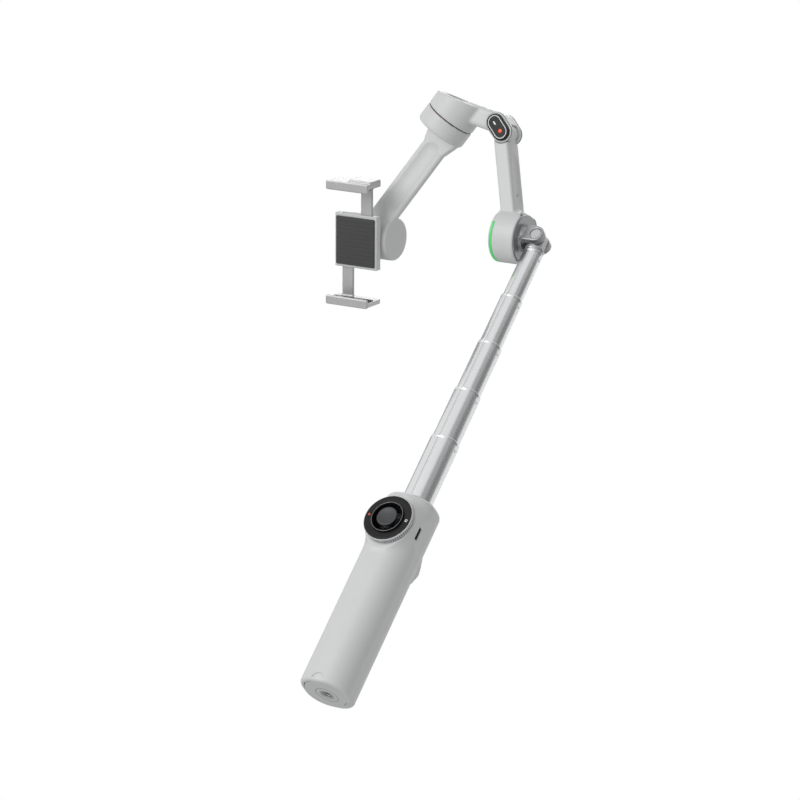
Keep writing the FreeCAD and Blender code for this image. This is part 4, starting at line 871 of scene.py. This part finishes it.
def makePads():
    rowTree = makeRowTree()
    up = Vector(jointOf["upper_jaw_slide"]["axis"])
    across = Vector((1, 0, 0))
    screen = across.cross(up)
    for name, spec in pads.items():
        outs = {"clampPad": (screen, across), "upperGrip": (-up, across), "lowerGrip": (up, across)}
        out, side = outs[name]
        place = standingOn(Vector((0, 0, 0)), out, side)
        low, high = boxAlong(spec["node"], place)
        rib = 0.25 * mm
        base = roundedBox(name, low, (high.x, high.y, high.z - rib), spec["corner"])
        base.transform(place)
        body = bodyOf[spec["node"]]
        finished(name, base, "padRubber", body, (spec["node"],))
        span = high.y - low.y - 2 * spec["margin"]
        first = ((low.x + high.x) / 2, low.y + spec["margin"], high.z - rib * 1.2)
        ribs = grown(rowTree, Count=spec["ribs"], First=first, Step=(0, span / (spec["ribs"] - 1), 0),
                     Bar=(high.x - low.x - 2 * spec["margin"], spec["ribWide"], rib * 2),
                     Finish=paint["padRubber"])
        ribs = withModifiers(ribs, ("BEVEL", {"width": rib * 0.6, "segments": 2}))
        ribs.transform(place)
        finished(name + "Ribs", ribs, "padRubber", body)
    print("pads made")


# light and floor
studio = {"key": (-0.8, 0.55, 0.75), "keyPower": 19, "keySize": 1.4, "fill": (0.9, 0.1, 0.6), "fillPower": 2,
          "back": (0.2, 0.5, -1.0), "backPower": 13, "world": 0.48, "floor": -1.2, "floorLift": 0.42,
          "lampAway": 1.8, "floorHalf": 6, "floorGrey": 0.85, "floorRough": 0.9,
          "cards": {"side": {"turn": 14, "rise": 26, "away": 0.9, "wide": 0.8, "tall": 1.4, "grey": 0.2},
                    "soft": {"turn": -30, "rise": 26, "away": 0.92, "wide": 0.6, "tall": 1.4, "grey": 0.4},
                    "rear": {"turn": 130, "rise": 26, "away": 1.1, "wide": 1.0, "tall": 1.4, "grey": 0.3}}}


# grey cards beside and behind the set, which only the reflections see
def makeCard(name, spec, middle):
    turn, rise = math.radians(spec["turn"]), math.radians(spec["rise"])
    away = Vector((math.cos(rise) * math.cos(turn), math.cos(rise) * math.sin(turn), math.sin(rise)))
    side, top = Vector((-math.sin(turn), math.cos(turn), 0)), Vector((0, 0, 1))
    at = middle + away * spec["away"]
    a, b = side * spec["wide"] / 2, top * spec["tall"] / 2
    mesh = bpy.data.meshes.new(name + "Card")
    mesh.from_pydata([tuple(v) for v in (at - a - b, at + a - b, at + a + b, at - a + b)], [], [(0, 1, 2, 3)])
    card = newObject(name + "Card", mesh)
    card.visible_camera = card.visible_diffuse = card.visible_shadow = False
    material = bpy.data.materials.new(name + "CardGrey")
    material.use_nodes = True
    shader = material.node_tree.nodes["Principled BSDF"]
    shader.inputs["Base Color"].default_value = (0, 0, 0, 1)
    shader.inputs["Emission Color"].default_value = (1, 1, 1, 1)
    shader.inputs["Emission Strength"].default_value = spec["grey"]
    mesh.materials.append(material)


def makeStudio():
    right, up, back = viewAxes()
    low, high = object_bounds()
    middle = (Vector(low) + Vector(high)) / 2
    for name in ("key", "fill", "back"):
        lamp = newObject(name + "Light", bpy.data.lights.new(name + "Light", "AREA"))
        lamp.data.energy = studio[name + "Power"]
        lamp.data.size = studio["keySize"]
        a, b, c = studio[name]
        away = (right * a + up * b + back * c).normalized()
        lamp.location = middle + away * studio["lampAway"]
        lamp.rotation_euler = away.to_track_quat("Z", "Y").to_euler()
    world = bpy.data.worlds.new("studio")
    bpy.context.scene.world = world
    world.use_nodes = True
    tree = world.node_tree
    ray = addNode(tree, "ShaderNodeLightPath")
    seen = addNode(tree, "ShaderNodeMath", {0: ray.outputs["Is Camera Ray"], 1: ray.outputs["Is Glossy Ray"]},
                   operation="MAXIMUM")
    clear = addNode(tree, "ShaderNodeMath", {0: seen.outputs[0], 1: ray.outputs["Is Transmission Ray"]},
                    operation="MAXIMUM")
    strength = addNode(tree, "ShaderNodeMapRange", {"Value": clear.outputs[0], "To Min": studio["world"],
                                                    "To Max": 1})
    background = tree.nodes["Background"]
    background.inputs["Color"].default_value = (1, 1, 1, 1)
    tree.links.new(strength.outputs["Result"], background.inputs["Strength"])
    mesh = bpy.data.meshes.new("floor")
    wide, level = studio["floorHalf"], studio["floor"]
    corners = [(x * wide, y * wide, level) for x, y in ((-1, -1), (1, -1), (1, 1), (-1, 1))]
    mesh.from_pydata(corners, [], [(0, 1, 2, 3)])
    floor = newObject("floor", mesh)
    material = bpy.data.materials.new("floorPaint")
    material.use_nodes = True
    shader = material.node_tree.nodes["Principled BSDF"]
    shader.inputs["Base Color"].default_value = (*(studio["floorGrey"],) * 3, 1)
    shader.inputs["Roughness"].default_value = studio["floorRough"]
    shader.inputs["Emission Color"].default_value = (1, 1, 1, 1)
    seen = addNode(material.node_tree, "ShaderNodeLightPath").outputs["Is Camera Ray"]
    lift = addNode(material.node_tree, "ShaderNodeMath", {0: seen, 1: studio["floorLift"]},
                   operation="MULTIPLY")
    material.node_tree.links.new(lift.outputs[0], shader.inputs["Emission Strength"])
    mesh.materials.append(material)
    for name, spec in studio["cards"].items():
        makeCard(name, spec, middle)
    bpy.context.scene.view_settings.view_transform = "Standard"


makeCamera()
makeStudio()
makeGrip()
makeDial()
makeFoot()
makeRod()
makeCastings()
makePill()
makePads()
